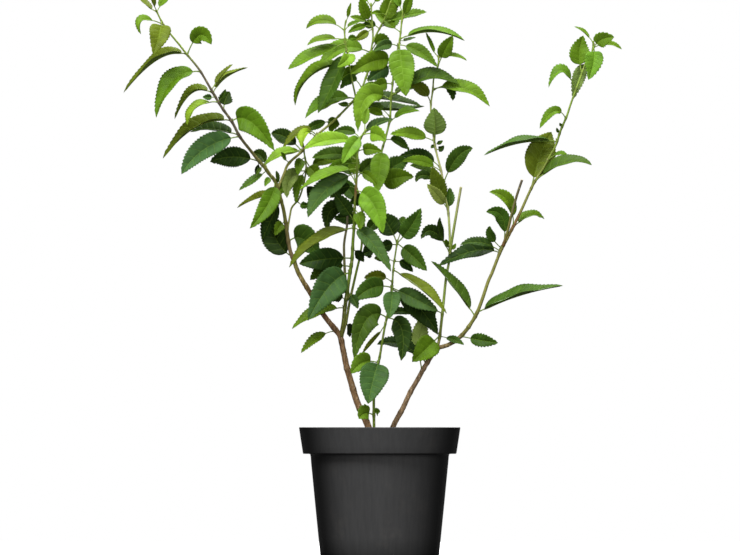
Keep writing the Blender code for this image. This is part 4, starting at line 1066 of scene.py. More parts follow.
def stem_material(name, streaks, wart_colour, wart_share, relief, roughness):
    """A stem's skin: its own tint, streaked along the stem and dotted with warts."""
    material, tree, shader = new_material(name)
    pattern = put(tree, "ShaderNodeGroup", node_tree=bark_pattern())
    feed(tree, pattern, {"Wart Share": wart_share})
    skin = shaded(tree, tint_of(tree), pattern.outputs["Streaks"], span=(0.32, 0.68), ends=streaks)
    warts = maths(tree, "MULTIPLY", pattern.outputs["Warts"], 0.75)
    feed(tree, shader, {
        "Base Color": colour_mix(tree, "MIX", warts, skin, wart_colour),
        "Roughness": roughness,
        "Specular IOR Level": 0.15,
        "Normal": bump(tree, pattern.outputs["Height"], relief),
    })
    return material


@functools.cache
def green_stem():
    return stem_material("green_stem", (0.78, 1.18), GREEN_WARTS, wart_share=0.35, relief=0.10 * MM,
                         roughness=0.50)


@functools.cache
def bark():
    return stem_material("bark", (0.50, 1.30), BARK_WARTS, wart_share=0.5, relief=0.45 * MM, roughness=0.82)


@functools.cache
def cut_wood():
    """A cut stem's end: pale wood, mottled darker and lighter."""
    material, tree, shader = new_material("cut_wood")
    rings = noise_of(tree, object_place(tree), scale=1500.0, detail=3.0)
    feed(tree, shader, {
        "Base Color": shaded(tree, (*colours().cut_wood, 1), rings, span=(0.3, 0.7), ends=(0.75, 1.15)),
        "Roughness": 0.8,
        "Normal": bump(tree, rings, 0.1 * MM),
    })
    return material


@functools.cache
def pot_plastic():
    """Satin black moulded plastic with a fine grain, faint upright streaks, a trace of dust, and
    painted shade that darkens it toward its sides.
    """
    material, tree, shader = new_material("pot_plastic")
    place = object_place(tree)
    grain = noise_of(tree, place, scale=1400.0, detail=2.0)
    streaks = noise_of(tree, upright(tree, place, along=0.05), scale=260.0, detail=4.0, rough=0.6)
    dust = noise_of(tree, place, scale=34.0, detail=5.0, rough=0.6)
    height = put(tree, "ShaderNodeSeparateXYZ", {0: place}).outputs["Z"]
    splash = maths(tree, "MULTIPLY", ramp_to(tree, dust, span=(0.52, 0.78)),
                   ramp_to(tree, height, span=(0.0, 0.05), ends=(0.10, 0.035)))
    body = shaded(tree, (*colours().plastic, 1), streaks, span=(0.3, 0.7), ends=(0.94, 1.07))
    dusty = colour_mix(tree, "MIX", splash, body, POT_DUST)
    # Painted shade: the plastic's colour falls to under a tenth where the pot turns from the view, leaving a
    # painted highlight down its middle.
    painted_shade_facing = put(tree, "ShaderNodeLayerWeight", {"Blend": 0.5}).outputs["Facing"]
    relief = maths(tree, "ADD", maths(tree, "MULTIPLY", grain, 0.5), maths(tree, "MULTIPLY", streaks, 0.5))
    feed(tree, shader, {
        "Base Color": shaded(tree, dusty, painted_shade_facing, span=(0.06, 0.66), ends=(1.0, 0.08)),
        "Roughness": ramp_to(tree, streaks, span=(0.25, 0.75), ends=(0.40, 0.50)),
        "Specular IOR Level": 0.1,
        "Normal": bump(tree, relief, 0.12 * MM),
    })
    return material


@functools.cache
def compost():
    """Dark crumbly compost with paler fibres."""
    material, tree, shader = new_material("compost")
    place = object_place(tree)
    clods = noise_of(tree, place, scale=160.0, detail=6.0, rough=0.7)
    fibres = noise_of(tree, place, scale=620.0, detail=4.0, rough=0.7)
    dark = shaded(tree, (*colours().compost, 1), clods, span=(0.3, 0.7), ends=(0.45, 1.6))
    seen_fibres = ramp_to(tree, fibres, span=(0.60, 0.74), ends=(0.0, 0.55))
    relief = maths(tree, "ADD", clods, maths(tree, "MULTIPLY", fibres, 0.5))
    feed(tree, shader, {
        "Base Color": colour_mix(tree, "MIX", seen_fibres, dark, COMPOST_FIBRES),
        "Roughness": 0.92,
        "Normal": bump(tree, relief, 1.2 * MM),
    })
    return material


@functools.cache
def crumb_skin():
    """Bark chips and clods, each with its own tint."""
    material, tree, shader = new_material("crumb_skin")
    streaks = noise_of(tree, object_place(tree), scale=700.0, detail=4.0, rough=0.65)
    feed(tree, shader, {
        "Base Color": shaded(tree, tint_of(tree), streaks, span=(0.3, 0.7), ends=(0.6, 1.35)),
        "Roughness": 0.88,
        "Normal": bump(tree, streaks, 0.3 * MM),
    })
    return material


@functools.cache
def pale_floor():
    """A pale floor with a painted glow for the camera, stronger away from the pot, so that it fades into
    the white air behind the pot, and that throws no light back up.
    """
    material, tree, shader = new_material("pale_floor")
    seen = put(tree, "ShaderNodeLightPath").outputs["Is Camera Ray"]
    away = put(tree, "ShaderNodeVectorMath", {0: object_place(tree)}, operation="LENGTH").outputs["Value"]
    # Painted glow: emission seen only by the camera, from 0.35 near the pot to 1 further out.
    camera_glow = maths(tree, "MULTIPLY", seen, ramp_to(tree, away, span=(0.15, 0.9), ends=(0.35, 1.0)))
    feed(tree, shader, {
        "Base Color": colour_mix(tree, "MIX", seen, FLOOR_IN_LIGHT, (*colours().floor, 1)),
        "Roughness": 0.9,
        "Emission Color": grey(tree, camera_glow),
        "Emission Strength": 1.0,
    })
    return material


# Leaves.

class Gathered:
    """Points, faces and values of many small shapes that become one mesh."""

    def __init__(self):
        self.points, self.faces, self.slots = [], [], []
        self.blade, self.tint = [], []
        self.count = 0

    def add(self, points, faces, slots, tint, blade=(0, 0, 0)):
        """slots, tint and blade are one value for all or one for each face or point."""
        points = np.asarray(points, float).reshape(-1, 3)
        self.points.append(points)
        self.faces += [tuple(self.count + corner for corner in face) for face in faces]
        self.slots += [slots] * len(faces) if isinstance(slots, int) else slots
        self.blade.append(np.broadcast_to(np.asarray(blade, float), (len(points), 3)))
        self.tint.append(np.broadcast_to(np.asarray(tint, float), (len(points), 3)))
        self.count += len(points)

    def piece(self, name, materials):
        tint = np.concatenate(self.tint)
        return mesh_piece(name, np.concatenate(self.points), self.faces, materials, self.slots, {
            "blade": ("FLOAT_VECTOR", "vector", np.concatenate(self.blade)),
            "tint": ("FLOAT_COLOR", "color", np.hstack([tint, np.ones((len(tint), 1))])),
        })


def leaf_frames(leaf, t, twist):
    """For an array of shares of the midrib: places, upper face and way across."""
    root, bend, tip = (np.array(point) for point in leaf.curve)
    t = np.asarray(t, float)[:, None]
    place = (1 - t) ** 2 * root + 2 * t * (1 - t) * bend + t ** 2 * tip
    along = (1 - t) * (bend - root) + t * (tip - bend)
    along /= np.linalg.norm(along, axis=1, keepdims=True)
    top = np.cross(along, np.array(TO_VIEWER)) * -leaf.lean
    size = np.linalg.norm(top, axis=1, keepdims=True)
    top = np.where(size < LEAST_CROSS, np.array((0.0, 0.0, 1.0)), top / np.maximum(size, LEAST_CROSS))
    front = np.cross(top, along)
    front /= np.linalg.norm(front, axis=1, keepdims=True)
    front *= np.where(front[:, 1:2] > 0, -1, 1)
    roll = leaf.roll + twist * (t - TWIST_MIDDLE)
    face = np.cos(roll) * top + np.sin(roll) * front
    face /= np.linalg.norm(face, axis=1, keepdims=True)
    return place, face, np.cross(along, face)


def blade_rows(leaf, rng):
    """The blade's rows from base to tip: where each meets the edge, and how far out it goes."""
    length = leaf.length * (1 - leaf.petiole)
    span = TEETH_END - TEETH_START
    teeth = round(length * span / sizes().tooth_spacing)
    teeth = max(FEWEST_TEETH, min(MOST_TEETH, teeth))
    depth = min(sizes().tooth_depth, TOOTH_SHARE_MOST * leaf.width) * rng.uniform(*LEAF_DEPTHS)
    rows = [(s, 0.0) for s in BASE_ROWS]
    step = span / teeth
    for k in range(teeth):
        start = TEETH_START + (k + rng.uniform(-TOOTH_SHIFT, TOOTH_SHIFT)) * step
        grown_share = min(1.0, FIRST_TOOTH + TOOTH_GROWTH * (k + 1) / teeth)
        deep = depth * rng.uniform(*TOOTH_DEPTHS) * grown_share
        rows += [(start + along * step, out * deep) for along, out in TOOTH_ROWS]
    rows += [(s, 0.0) for s in END_ROWS]
    edge = np.array([s for s, _ in rows])
    slim = np.interp(leaf.width / length, (SLIMMEST_BLADE, BROAD_BLADE), (1, 0))
    base = np.interp(slim, (0, 1), BASE_POWERS) * rng.uniform(*POWER_FACTORS)
    point = rng.uniform(*POINT_POWERS)
    widest = base / (base + point)
    shape = edge ** base * (1 - edge) ** point / (widest ** base * (1 - widest) ** point)
    reach = FULLNESS * leaf.width / 2 * shape + np.array([out for _, out in rows])
    return edge, np.maximum(reach, np.where(edge < BASE_END, BASE_REACH_LEAST, REACH_LEAST))


def blade_faces(rows, wide):
    """Faces and slots of a blade's top, its underside, the rim between them and its tip."""
    faces, slots = [], []
    below = rows * wide
    tip = 2 * below
    for j in range(rows - 1):
        for k in range(wide - 1):
            a = j * wide + k
            faces.append((a, a + 1, a + 1 + wide, a + wide))
            faces.append((below + a, below + a + wide, below + a + 1 + wide, below + a + 1))
            slots += [BLADE_TOP, BLADE_UNDER]
        for k, turn in ((0, 1), (wide - 1, -1)):
            a = j * wide + k
            faces.append((a, a + wide, below + a + wide, below + a)[::turn])
            slots.append(BLADE_TOP)
    last = (rows - 1) * wide
    for k in range(wide - 1):
        faces.append((last + k, last + k + 1, tip))
        faces.append((below + last + k + 1, below + last + k, tip))
        faces.append((k, below + k, below + k + 1, k + 1))
        slots += [BLADE_TOP, BLADE_UNDER, BLADE_UNDER]
    faces.append((last, tip, below + last))
    faces.append((last + wide - 1, below + last + wide - 1, tip))
    slots += [BLADE_TOP, BLADE_TOP]
    return faces, slots


def add_leaf(made, leaf, tint, stalk_tint, rng, young):
    """A thin blade with swept rows, teeth, sunk veins and waved edges, on a stalk that runs on
    under the blade as its midrib."""
    edge, reach = blade_rows(leaf, rng)
    size = leaf.width / USUAL_WIDTH
    columns = np.array(COLUMNS)
    side = np.abs(columns)
    sweep = ROW_SWEEP * edge * (1 - edge)
    middle = edge - sweep
    s = middle[:, None] + sweep[:, None] * side ** ROW_SWEEP_POWER
    up = reach[:, None] * math.sin(FOLD) * ((1 + FOLD_HOLLOW) * side - FOLD_HOLLOW * side ** 2)
    phase = middle[:, None] * sizes().vein_pairs + np.where(columns > 0, VEIN_OFFSET, 0.0)
    swell = (np.abs(np.sin(math.pi * phase)) * np.sin(math.pi * side ** SWELL_SIDE_POWER)
             * (1 - s) ** SWELL_TIP_POWER)
    up = up + sizes().quilting * size * swell
    turns = rng.uniform(*WAVE_TURNS)
    waves = np.where(columns > 0, rng.uniform(0, math.tau), rng.uniform(0, math.tau))
    up = up + (sizes().wave * size * side ** 2 * np.sin(math.tau * turns * s + waves)
               * np.sin(math.pi * s) ** WAVE_END_POWER)
    up = up - MIDRIB_SINK * size * np.exp(-(side / MIDRIB_SINK_WIDTH) ** 2) * (1 - s)
    twist = rng.uniform(-MOST_TWIST, MOST_TWIST)
    place, face, across = leaf_frames(leaf, leaf.blade_t(s).ravel(), twist)
    out = (reach[:, None] * columns).ravel()[:, None]
    top = place + out * math.cos(FOLD) * across + up.ravel()[:, None] * face
    small = min(1.0, SMALL_LEAF_THICKNESS + (1 - SMALL_LEAF_THICKNESS) * size)
    thick = sizes().blade_thickness * (1 - EDGE_THINNING * side) * small
    thick = np.broadcast_to(thick, s.shape).ravel()[:, None]
    top = top + 0.5 * thick * face
    tip = leaf_frames(leaf, [1.0], twist)[0]
    points = np.concatenate([top, top - thick * face, tip])

    def on_both_faces(values, at_tip):
        flat = np.broadcast_to(values, s.shape).ravel()
        return np.concatenate([flat, flat, [at_tip]])

    blade = np.stack([on_both_faces(columns, 0.0), on_both_faces(middle[:, None], 1.0),
                      on_both_faces(reach[:, None] / CM, 0.0)], axis=1)
    shade = BASE_SHADE + SHADE_RISE * on_both_faces(s, 1.0)[:, None]
    faces, slots = blade_faces(*s.shape)
    made.add(points, faces, slots, np.asarray(tint) * shade, blade)
    add_stalk(made, leaf, stalk_tint, tint, twist, size, young)


def add_stalk(made, leaf, stalk_tint, tint, twist, size, young):
    """The leaf's stalk and, under its blade, the midrib's ridge."""
    petiole = np.linspace(0, leaf.petiole, PETIOLE_RINGS)
    ridge = leaf.petiole + np.linspace(0, 1, RIDGE_RINGS + 1)[1:] ** RIDGE_POWER * (RIDGE_END - leaf.petiole)
    t = np.concatenate([petiole, ridge])
    s = np.clip((t - leaf.petiole) / (1 - leaf.petiole), 0, 1)
    place, face, across = leaf_frames(leaf, t, twist)
    girth = YOUNG_STALK_RADIUS if young else STALK_RADIUS
    girth *= min(GIRTH_MOST, GIRTH_LEAST + GIRTH_GROWTH * size)
    radius = girth * np.where(s > 0, RIDGE_START * (1 - s) ** RIDGE_TAPER + RIDGE_TIP, 1.0)
    from_foot = (t * leaf.length - STALK_FOOT_MIDDLE) / STALK_FOOT_LENGTH
    radius = radius * (1 + STALK_FOOT * np.exp(-from_foot ** 2))
    sunk = np.clip((t - SINK_START * leaf.petiole) / ((1 - SINK_START) * leaf.petiole + SINK_SPAN), 0, 1)
    drop = sunk * (RIDGE_DROP + RIDGE_DROP_SHARE * radius + MIDRIB_SINK * size * (1 - s))
    centre = place - drop[:, None] * face
    sides = []
    for k in range(RIB_SIDES):
        turn = math.tau * k / RIB_SIDES
        sides.append(centre + radius[:, None] * (math.cos(turn) * across + math.sin(turn) * face))
    points = np.stack(sides, axis=1).reshape(-1, 3)
    blend = np.repeat(np.clip(s * RIDGE_BLEND, 0, 1), RIB_SIDES)[:, None]
    ridge_tint = np.array(mixed(stalk_tint, tint, RIDGE_TINT))
    shade = (1 - blend) * np.array(stalk_tint) + blend * ridge_tint
    made.add(points, closed_faces(len(t), RIB_SIDES), STALK, shade)


def mixed(a, b, share):
    return [x + (y - x) * share for x, y in zip(a, b)]


def leaf_tint(tone, rng):
    """A tone's colour, a little lighter or darker and warmer or cooler from leaf to leaf."""
    red, green, blue = getattr(colours(), TONE_FIELDS[tone])
    light, warm = rng.uniform(*LIGHT_FACTORS), rng.uniform(-MOST_WARMTH, MOST_WARMTH)
    return [red * light * (1 + warm), green * light, blue * light * (1 - warm)]


def rooted(leaf, line, single):
    """Moves a leaf's root onto the smooth middle line of its stem, or a single leaf's root to just
    under its trunk's bark."""
    root, bend, tip = leaf.curve
    spot = min(line, key=lambda p: (p - root).length)
    along = (bend - root).normalized()
    start = root - SINGLE_ROOT_DEPTH * along if single else spot - ROOT_DEPTH * along
    leaf.curve = (start, bend, tip)
    return spot


def build_leaves(node, group, fine_lines, rng):
    """The leaves of one node as one mesh, and where their roots are on each stem."""
    made = Gathered()
    roots = []
    single = node.endswith("leaf")
    for leaf, name, tone, young in group:
        spot = rooted(leaf, fine_lines[name], single)
        tint = leaf_tint(tone, rng)
        add_leaf(made, leaf, tint, mixed(colours().fresh, tint, STALK_TINT), rng, young)
        roots.append((name, spot, (leaf.curve[1] - spot).normalized(), leaf.length))
    piece = made.piece(node if single else node + "_leaves", [leaf_upper(), leaf_under(), green_stem()])
    settle(piece, node)
    return roots


# Stems.

def ramp_colours(ramp, shares):
    """The colours of a stem at shares of its length."""
    named = np.array([getattr(colours(), name) for _, name in ramp])
    return np.stack([np.interp(shares, [at for at, _ in ramp], named[:, c]) for c in range(3)], axis=1)


def stem_line(stem, step):
    """Points along a stem's smooth middle line, and how far from its foot each is."""
    line = traced_line(stem)
    lengths = np.concatenate([[0], np.cumsum([(b - a).length for a, b in zip(line, line[1:])])])
    wanted = np.linspace(0, lengths[-1], max(FEWEST_RINGS, round(lengths[-1] / step)) + 1)
    spread = np.array(line)
    return [Vector([np.interp(d, lengths, spread[:, axis]) for axis in range(3)]) for d in wanted], wanted


def main_line(stem):
    return stem_line(stem, MAIN_LINE_STEP)[0]


def hump(lengths, at, spread):
    """A swelling of height 1 at one place along a stem."""
    return np.exp(-((lengths - at) / spread) ** 2)


def add_stem(made, stem, joints, rng):
    """A round stem that tapers, thickens at its joints and where it leaves its parent, and is
    rough on old wood."""
    woody = stem.name.endswith("trunk")
    sides = FINE_TRUNK_SIDES if woody else FINE_STEM_SIDES
    line, lengths = stem_line(stem, FINE_TRUNK_STEP if woody else FINE_STEM_STEP)
    total = lengths[-1]
    shares = lengths / total
    radii = (stem.thick_mm + (stem.thin_mm - stem.thick_mm) * shares) * MM / 2
    if stem.parent:
        radii = radii * (1 + FOOT_FLARE * hump(lengths, 0, FOOT_FLARE_LENGTH))
    swelling = np.zeros(len(line))
    for joint in joints:
        at = lengths[min(range(len(line)), key=lambda n: (line[n] - joint).length)]
        swelling = np.maximum(swelling, hump(lengths, at, JOINT_LENGTH))
    if woody:
        for k in range(int(total / OLD_JOINT_STEP)):
            at = (k + OLD_JOINT_START) * OLD_JOINT_STEP
            at += rng.uniform(-OLD_JOINT_SHIFT_MM, OLD_JOINT_SHIFT_MM) * MM
            swelling = np.maximum(swelling, OLD_JOINT_SIZE * hump(lengths, at, OLD_JOINT_LENGTH))
    radii = [float(radius) for radius in radii + swelling * (JOINT_SHARE * radii + JOINT_HEIGHT)]
    warts = [(rng.uniform(0, total), rng.uniform(0, math.tau), rng.uniform(*WART_RADII_MM) * MM)
             for _ in range(int(total / WART_STEP) if woody else 0)]
    points = []
    for length, centre, radius, (across, over) in zip(lengths, line, radii, ring_axes(line)):
        near_warts = [wart for wart in warts if abs(wart[0] - length) < WART_RANGE * wart[2]]
        for k in range(sides):
            turn = math.tau * (k + 0.5) / sides
            way = math.cos(turn) * across + math.sin(turn) * over
            rise = bark_rise(centre + way * radius, radius, length, turn, near_warts) if woody else 0
            points.append(centre + (radius + rise) * way)
    tints = ramp_colours(STEM_RAMPS[stem.name], shares) * (1 - JOINT_SHADE * swelling[:, None])
    tints = np.repeat(tints, sides, axis=0)
    faces = ring_faces(len(line), sides)
    slots = [SKIN] * len(faces)
    end, first = len(points) - sides, len(points)
    along = (line[-1] - line[-2]).normalized()
    cut = stem.name in CUT_STEMS
    inwards = CUT_RIM if cut else TIP_RIM
    rim_rise, heart_rise = (CUT_RIM_RISE, CUT_HEART_RISE) if cut else (radii[-1] * TIP_RIM_RISE, radii[-1])
    points += [point * (1 - inwards) + line[-1] * inwards + rim_rise * along for point in points[end:]]
    points.append(line[-1] + heart_rise * along)
    for k in range(sides):
        n = (k + 1) % sides
        faces.append((end + k, end + n, first + n, first + k))
        faces.append((first + k, first + n, first + sides))
        slots += [SKIN, CUT_END if cut else SKIN]
    made.add(points, faces, slots, np.concatenate([tints, np.repeat(tints[-1:], sides + 1, axis=0)]))


def bark_rise(spot, radius, length, turn, warts):
    """How far old bark stands out at a spot: its ridges, and the warts near it."""
    coarse = noise.noise(Vector((spot.x * BARK_ACROSS, spot.y * BARK_ACROSS, spot.z * BARK_ALONG)))
    rise = sizes().bark_depth * (coarse + FINE_BARK_SHARE * noise.noise(spot * FINE_BARK))
    for at, angle, size in warts:
        gap = abs((turn - angle + math.pi) % math.tau - math.pi) * radius
        rise += WART_HEIGHT * size * math.exp(-((length - at) ** 2 + gap ** 2) / (WART_SPREAD * size) ** 2)
    return rise


def add_bud(made, reach, root, stem_along, leaf_along, rng):
    """A small pointed bud in the angle between a leaf's stalk and its stem."""
    length = rng.uniform(*BUD_LENGTHS_MM) * MM
    width = BUD_WIDTH * length
    outward = (leaf_along - leaf_along.dot(stem_along) * stem_along).normalized()
    way = (stem_along * BUD_ALONG + outward * BUD_OUT).normalized()
    start = root + outward * reach * BUD_SEAT + stem_along * BUD_RISE
    aside = way.cross(outward).normalized()
    over = way.cross(aside)
    points = []
    for share, wide in BUD_PROFILE:
        for k in range(BUD_SIDES):
            turn = math.tau * k / BUD_SIDES
            out = math.cos(turn) * aside + math.sin(turn) * over
            points.append(start + share * length * way + wide * width * out)
    tip, last = len(points), len(points) - BUD_SIDES
    points.append(start + length * way)
    faces = ring_faces(len(BUD_PROFILE), BUD_SIDES)
    faces += [(last + k, last + (k + 1) % BUD_SIDES, tip) for k in range(BUD_SIDES)]
    made.add(points, faces, SKIN, mixed(colours().olive, colours().grass, rng.random()))


# Operators.

def circle(radius, segments, shift=0.0):
    """Places across and towards the back, in a circle round the pot's axis."""
    turns = [math.tau * (k + shift) / segments for k in range(segments)]
    return [(radius * math.cos(turn), radius * math.sin(turn)) for turn in turns]


class FORSYTHIA_OT_pot(bpy.types.Operator):
    """Build the tapering nursery pot with its band, rounded lip and drain holes"""

    bl_idname = "forsythia.pot"
    bl_label = "Pot"

    SEGMENTS = 144
    SHARP_ANGLE = math.radians(50)
    # Radius and height from the middle of the underside, round the lip, to the middle of the floor.
    PROFILE_MM = (
        (0, 0), (66, 0), (68.6, 0.05), (69.5, 0.4), (70.0, 1.2), (72.1, 22), (74.3, 44), (76.5, 66),
        (78.6, 88), (80.7, 109), (81.3, 116.5), (81.75, 118.9), (82.3, 119.5), (84, 119.7),
        (88.4, 119.7), (89.6, 119.8), (90.2, 120.2), (90.45, 120.9), (91.6, 128.5), (93.1, 138),
        (94.3, 146.2), (94.75, 149.3), (94.9, 150.3), (94.6, 150.85), (94.0, 151.0), (93.3, 150.9),
        (92.95, 150.4), (92.0, 143), (90.6, 134), (89.0, 123.2), (88.5, 121.9), (87.6, 121.5),
        (81.2, 121.4), (80.2, 121.0), (79.8, 120), (74.2, 66), (68.8, 4.2), (68.2, 3.0), (67.0, 2.5),
        (0, 2.5),
    )
    DRAIN_HOLES = 8
    DRAIN_RING = 52 * MM
    DRAIN_RADIUS = 6 * MM
    DRAIN_SEGMENTS = 32
    DRAIN_DEPTH = 20 * MM

    def execute(self, context):
        points, faces, rings = [], [], []
        for radius, height in self.PROFILE_MM:
            count = self.SEGMENTS if radius else 1
            rings.append([len(points) + k for k in range(count)])
            points += [(x, y, height * MM) for x, y in circle(radius * MM, count, 0.5)]
        for ring, after in zip(rings, rings[1:]):
            for k in range(self.SEGMENTS):
                n = (k + 1) % self.SEGMENTS
                corners = (ring[k % len(ring)], ring[n % len(ring)],
                           after[n % len(after)], after[k % len(after)])
                faces.append(tuple(dict.fromkeys(corners)))
        pot = mesh_piece("pot_shell", points, faces, [pot_plastic()])
        self.drill(pot)
        pot.data.shade_smooth()
        pot.data.set_sharp_from_angle(angle=self.SHARP_ANGLE)
        settle(pot, "pot")
        return {"FINISHED"}

    def drill(self, pot):
        """Drain holes in a ring in the floor."""
        cutters = bpy.data.collections.new("drain_cutters")
        for x, y in circle(self.DRAIN_RING, self.DRAIN_HOLES):
            shape = bmesh.new()
            bmesh.ops.create_cone(shape, cap_ends=True, segments=self.DRAIN_SEGMENTS,
                                  radius1=self.DRAIN_RADIUS, radius2=self.DRAIN_RADIUS,
                                  depth=self.DRAIN_DEPTH)
            bmesh.ops.translate(shape, verts=shape.verts, vec=(x, y, 0))
            mesh = bpy.data.meshes.new("drain_cutter")
            shape.to_mesh(mesh)
            shape.free()
            cutters.objects.link(bpy.data.objects.new("drain_cutter", mesh))
        cut = pot.modifiers.new("drain", "BOOLEAN")
        cut.operation = "DIFFERENCE"
        cut.operand_type = "COLLECTION"
        cut.collection = cutters
        cut.solver = "EXACT"
        whole = len(pot.data.polygons)
        drilled = pot.evaluated_get(bpy.context.evaluated_depsgraph_get())
        mesh = bpy.data.meshes.new_from_object(drilled)
        if len(mesh.polygons) <= whole:
            raise RuntimeError("the drain holes were not cut")
        pot.modifiers.clear()
        pot.data = mesh
        for cutter in list(cutters.objects):
            bpy.data.objects.remove(cutter)
        bpy.data.collections.remove(cutters)


class FORSYTHIA_OT_soil(bpy.types.Operator):
    """Build the lumpy compost in the pot, with crumbs and chips of bark on it"""

    bl_idname = "forsythia.soil"
    bl_label = "Soil"

    SEED = 5
    SEGMENTS, RINGS = 150, 46
    TOP_RADIUS = 90.2 * MM
    # Radius and height down the soil's flank, and of its underside.
    FLANK_MM = ((90.2, 131), (88.0, 122.6), (79.0, 121.8), (67.5, 3.0))
    # Shares of the lumps' height, each with how many lumps there are to a metre.
    LUMPS = ((0.9, 35), (0.5, 110), (0.3, 320))
    SETTLED = 1.5 * MM
    FOOT_RISE, FOOT_SPREAD = 3.0 * MM, 13 * MM

    # Crumbs of compost and chips of bark: how many, how large, how wide and thick for their size,
    # and how much of the tan bark's colour they have.
    CRUMBS, CHIPS = 420, 70
    CRUMB_SIZES_MM, CHIP_SIZES_MM = (0.6, 2.2), (2.0, 4.6)
    CRUMB_WIDTHS, CHIP_WIDTHS = (0.7, 1.0), (0.3, 0.55)
    CRUMB_THICKNESSES, CHIP_THICKNESS = (0.6, 0.9), 0.22
    CRUMB_TINTS, CHIP_TINTS = (0.0, 0.18), (0.15, 0.55)
    SCATTER_MARGIN = 4 * MM
    MOST_TILT = 0.35
    SUNK_SHARE = 0.25
    ROUGHNESS, ROUGH_SCALE = 0.28, 1.7

    def height(self, x, y):
        """The soil's surface: lumps, and a rise round each stem."""
        spot = Vector((x, y, 0))
        up = sizes().soil_lump * sum(share * noise.noise(spot * scale) for share, scale in self.LUMPS)
        for foot_x, foot_y in self.feet:
            away = (x - foot_x) ** 2 + (y - foot_y) ** 2
            up += self.FOOT_RISE * math.exp(-away / self.FOOT_SPREAD ** 2)
        return SOIL_TOP - self.SETTLED + up

    def execute(self, context):
        feet = [min(main_line(stem), key=lambda p: abs(p.z - SOIL_TOP)) for stem in STEMS if not stem.parent]
        self.feet = [(foot.x, foot.y) for foot in feet]
        points, faces = [(0, 0, self.height(0, 0))], []
        for i in range(1, self.RINGS + 1):
            ring = circle(self.TOP_RADIUS * i / self.RINGS, self.SEGMENTS, 0.5 * (i % 2))
            points += [(x, y, self.height(x, y)) for x, y in ring]
        for radius, height in self.FLANK_MM:
            points += [(x, y, height * MM) for x, y in circle(radius * MM, self.SEGMENTS)]
        points.append((0, 0, self.FLANK_MM[-1][1] * MM))
        rings = self.RINGS + len(self.FLANK_MM)
        last = 1 + (rings - 1) * self.SEGMENTS
        for k in range(self.SEGMENTS):
            n = (k + 1) % self.SEGMENTS
            faces.append((0, 1 + k, 1 + n))
            for a in range(1, last, self.SEGMENTS):
                b = a + self.SEGMENTS
                faces.append((a + k, b + k, b + n, a + n))
            faces.append((last + n, last + k, len(points) - 1))
        settle(mesh_piece("soil_body", points, faces, [compost()]), "soil")
        self.scatter(random.Random(self.SEED))
        return {"FINISHED"}

    def scatter(self, rng):
        """Crumbs of compost and chips of bark, half sunk in the surface."""
        made = Gathered()
        shape = bmesh.new()
        bmesh.ops.create_icosphere(shape, subdivisions=1, radius=1.0)
        ball = [vert.co.copy() for vert in shape.verts]
        ball_faces = [tuple(vert.index for vert in face.verts) for face in shape.faces]
        shape.free()
        for i in range(self.CRUMBS + self.CHIPS):
            chip = i >= self.CRUMBS
            radius = (self.TOP_RADIUS - self.SCATTER_MARGIN) * math.sqrt(rng.random())
            turn = rng.uniform(0, math.tau)
            x, y = radius * math.cos(turn), radius * math.sin(turn)
            size = rng.uniform(*(self.CHIP_SIZES_MM if chip else self.CRUMB_SIZES_MM)) * MM
            wide = rng.uniform(*(self.CHIP_WIDTHS if chip else self.CRUMB_WIDTHS))
            thick = self.CHIP_THICKNESS if chip else rng.uniform(*self.CRUMB_THICKNESSES)
            spin = Matrix.Rotation(rng.uniform(0, math.tau), 3, "Z")
            tilt = Matrix.Rotation(rng.uniform(-self.MOST_TILT, self.MOST_TILT), 3, "X")
            centre = Vector((x, y, self.height(x, y) + self.SUNK_SHARE * size * thick))
            points = []
            for corner in ball:
                rough = 1 + self.ROUGHNESS * noise.noise(corner * self.ROUGH_SCALE + Vector((i, 0, 0)))
                squashed = Vector((corner.x, corner.y * wide, corner.z * thick)) * size * rough
                points.append(centre + spin @ tilt @ squashed)
            share = rng.uniform(*(self.CHIP_TINTS if chip else self.CRUMB_TINTS))
            made.add(points, ball_faces, SKIN, mixed(colours().compost, colours().tan, share))
        settle(made.piece("soil_crumbs", [crumb_skin()]), "soil")


class FORSYTHIA_OT_shoots(bpy.types.Operator):
    """Build every trunk and shoot with its buds, and the leaves that grow on it"""

    bl_idname = "forsythia.shoots"
    bl_label = "Trunks, Shoots and Leaves"

    SEED = 11

    def execute(self, context):
        stems, leaves = grown()
        rng = random.Random(self.SEED)
        fine_lines = {stem.name: main_line(stem) for stem in STEMS}
        joints, buds = {}, []
        for node, group in leaves.items():
            for name, spot, along, length in build_leaves(node, group, fine_lines, rng):
                joints.setdefault(name, []).append(spot)
                if length > SHORT_LEAF:
                    buds.append((name, spot, along))
        nodes = {}
        for stem in STEMS:
            nodes.setdefault(stem.node, []).append(stem)
        for node, group in nodes.items():
            made = Gathered()
            for stem in group:
                add_stem(made, stem, joints.get(stem.name, []), rng)
                for name, spot, along in buds:
                    if name == stem.name and rng.random() < BUD_CHANCE:
                        _, reach, stem_along = stems[name].nearest(spot)
                        add_bud(made, reach, spot, stem_along, along, rng)
            woody = node.endswith("trunk")
            piece = made.piece(node + ("_wood" if woody else "_stems"),
                               [bark() if woody else green_stem(), cut_wood()])
            settle(piece, node)
        return {"FINISHED"}


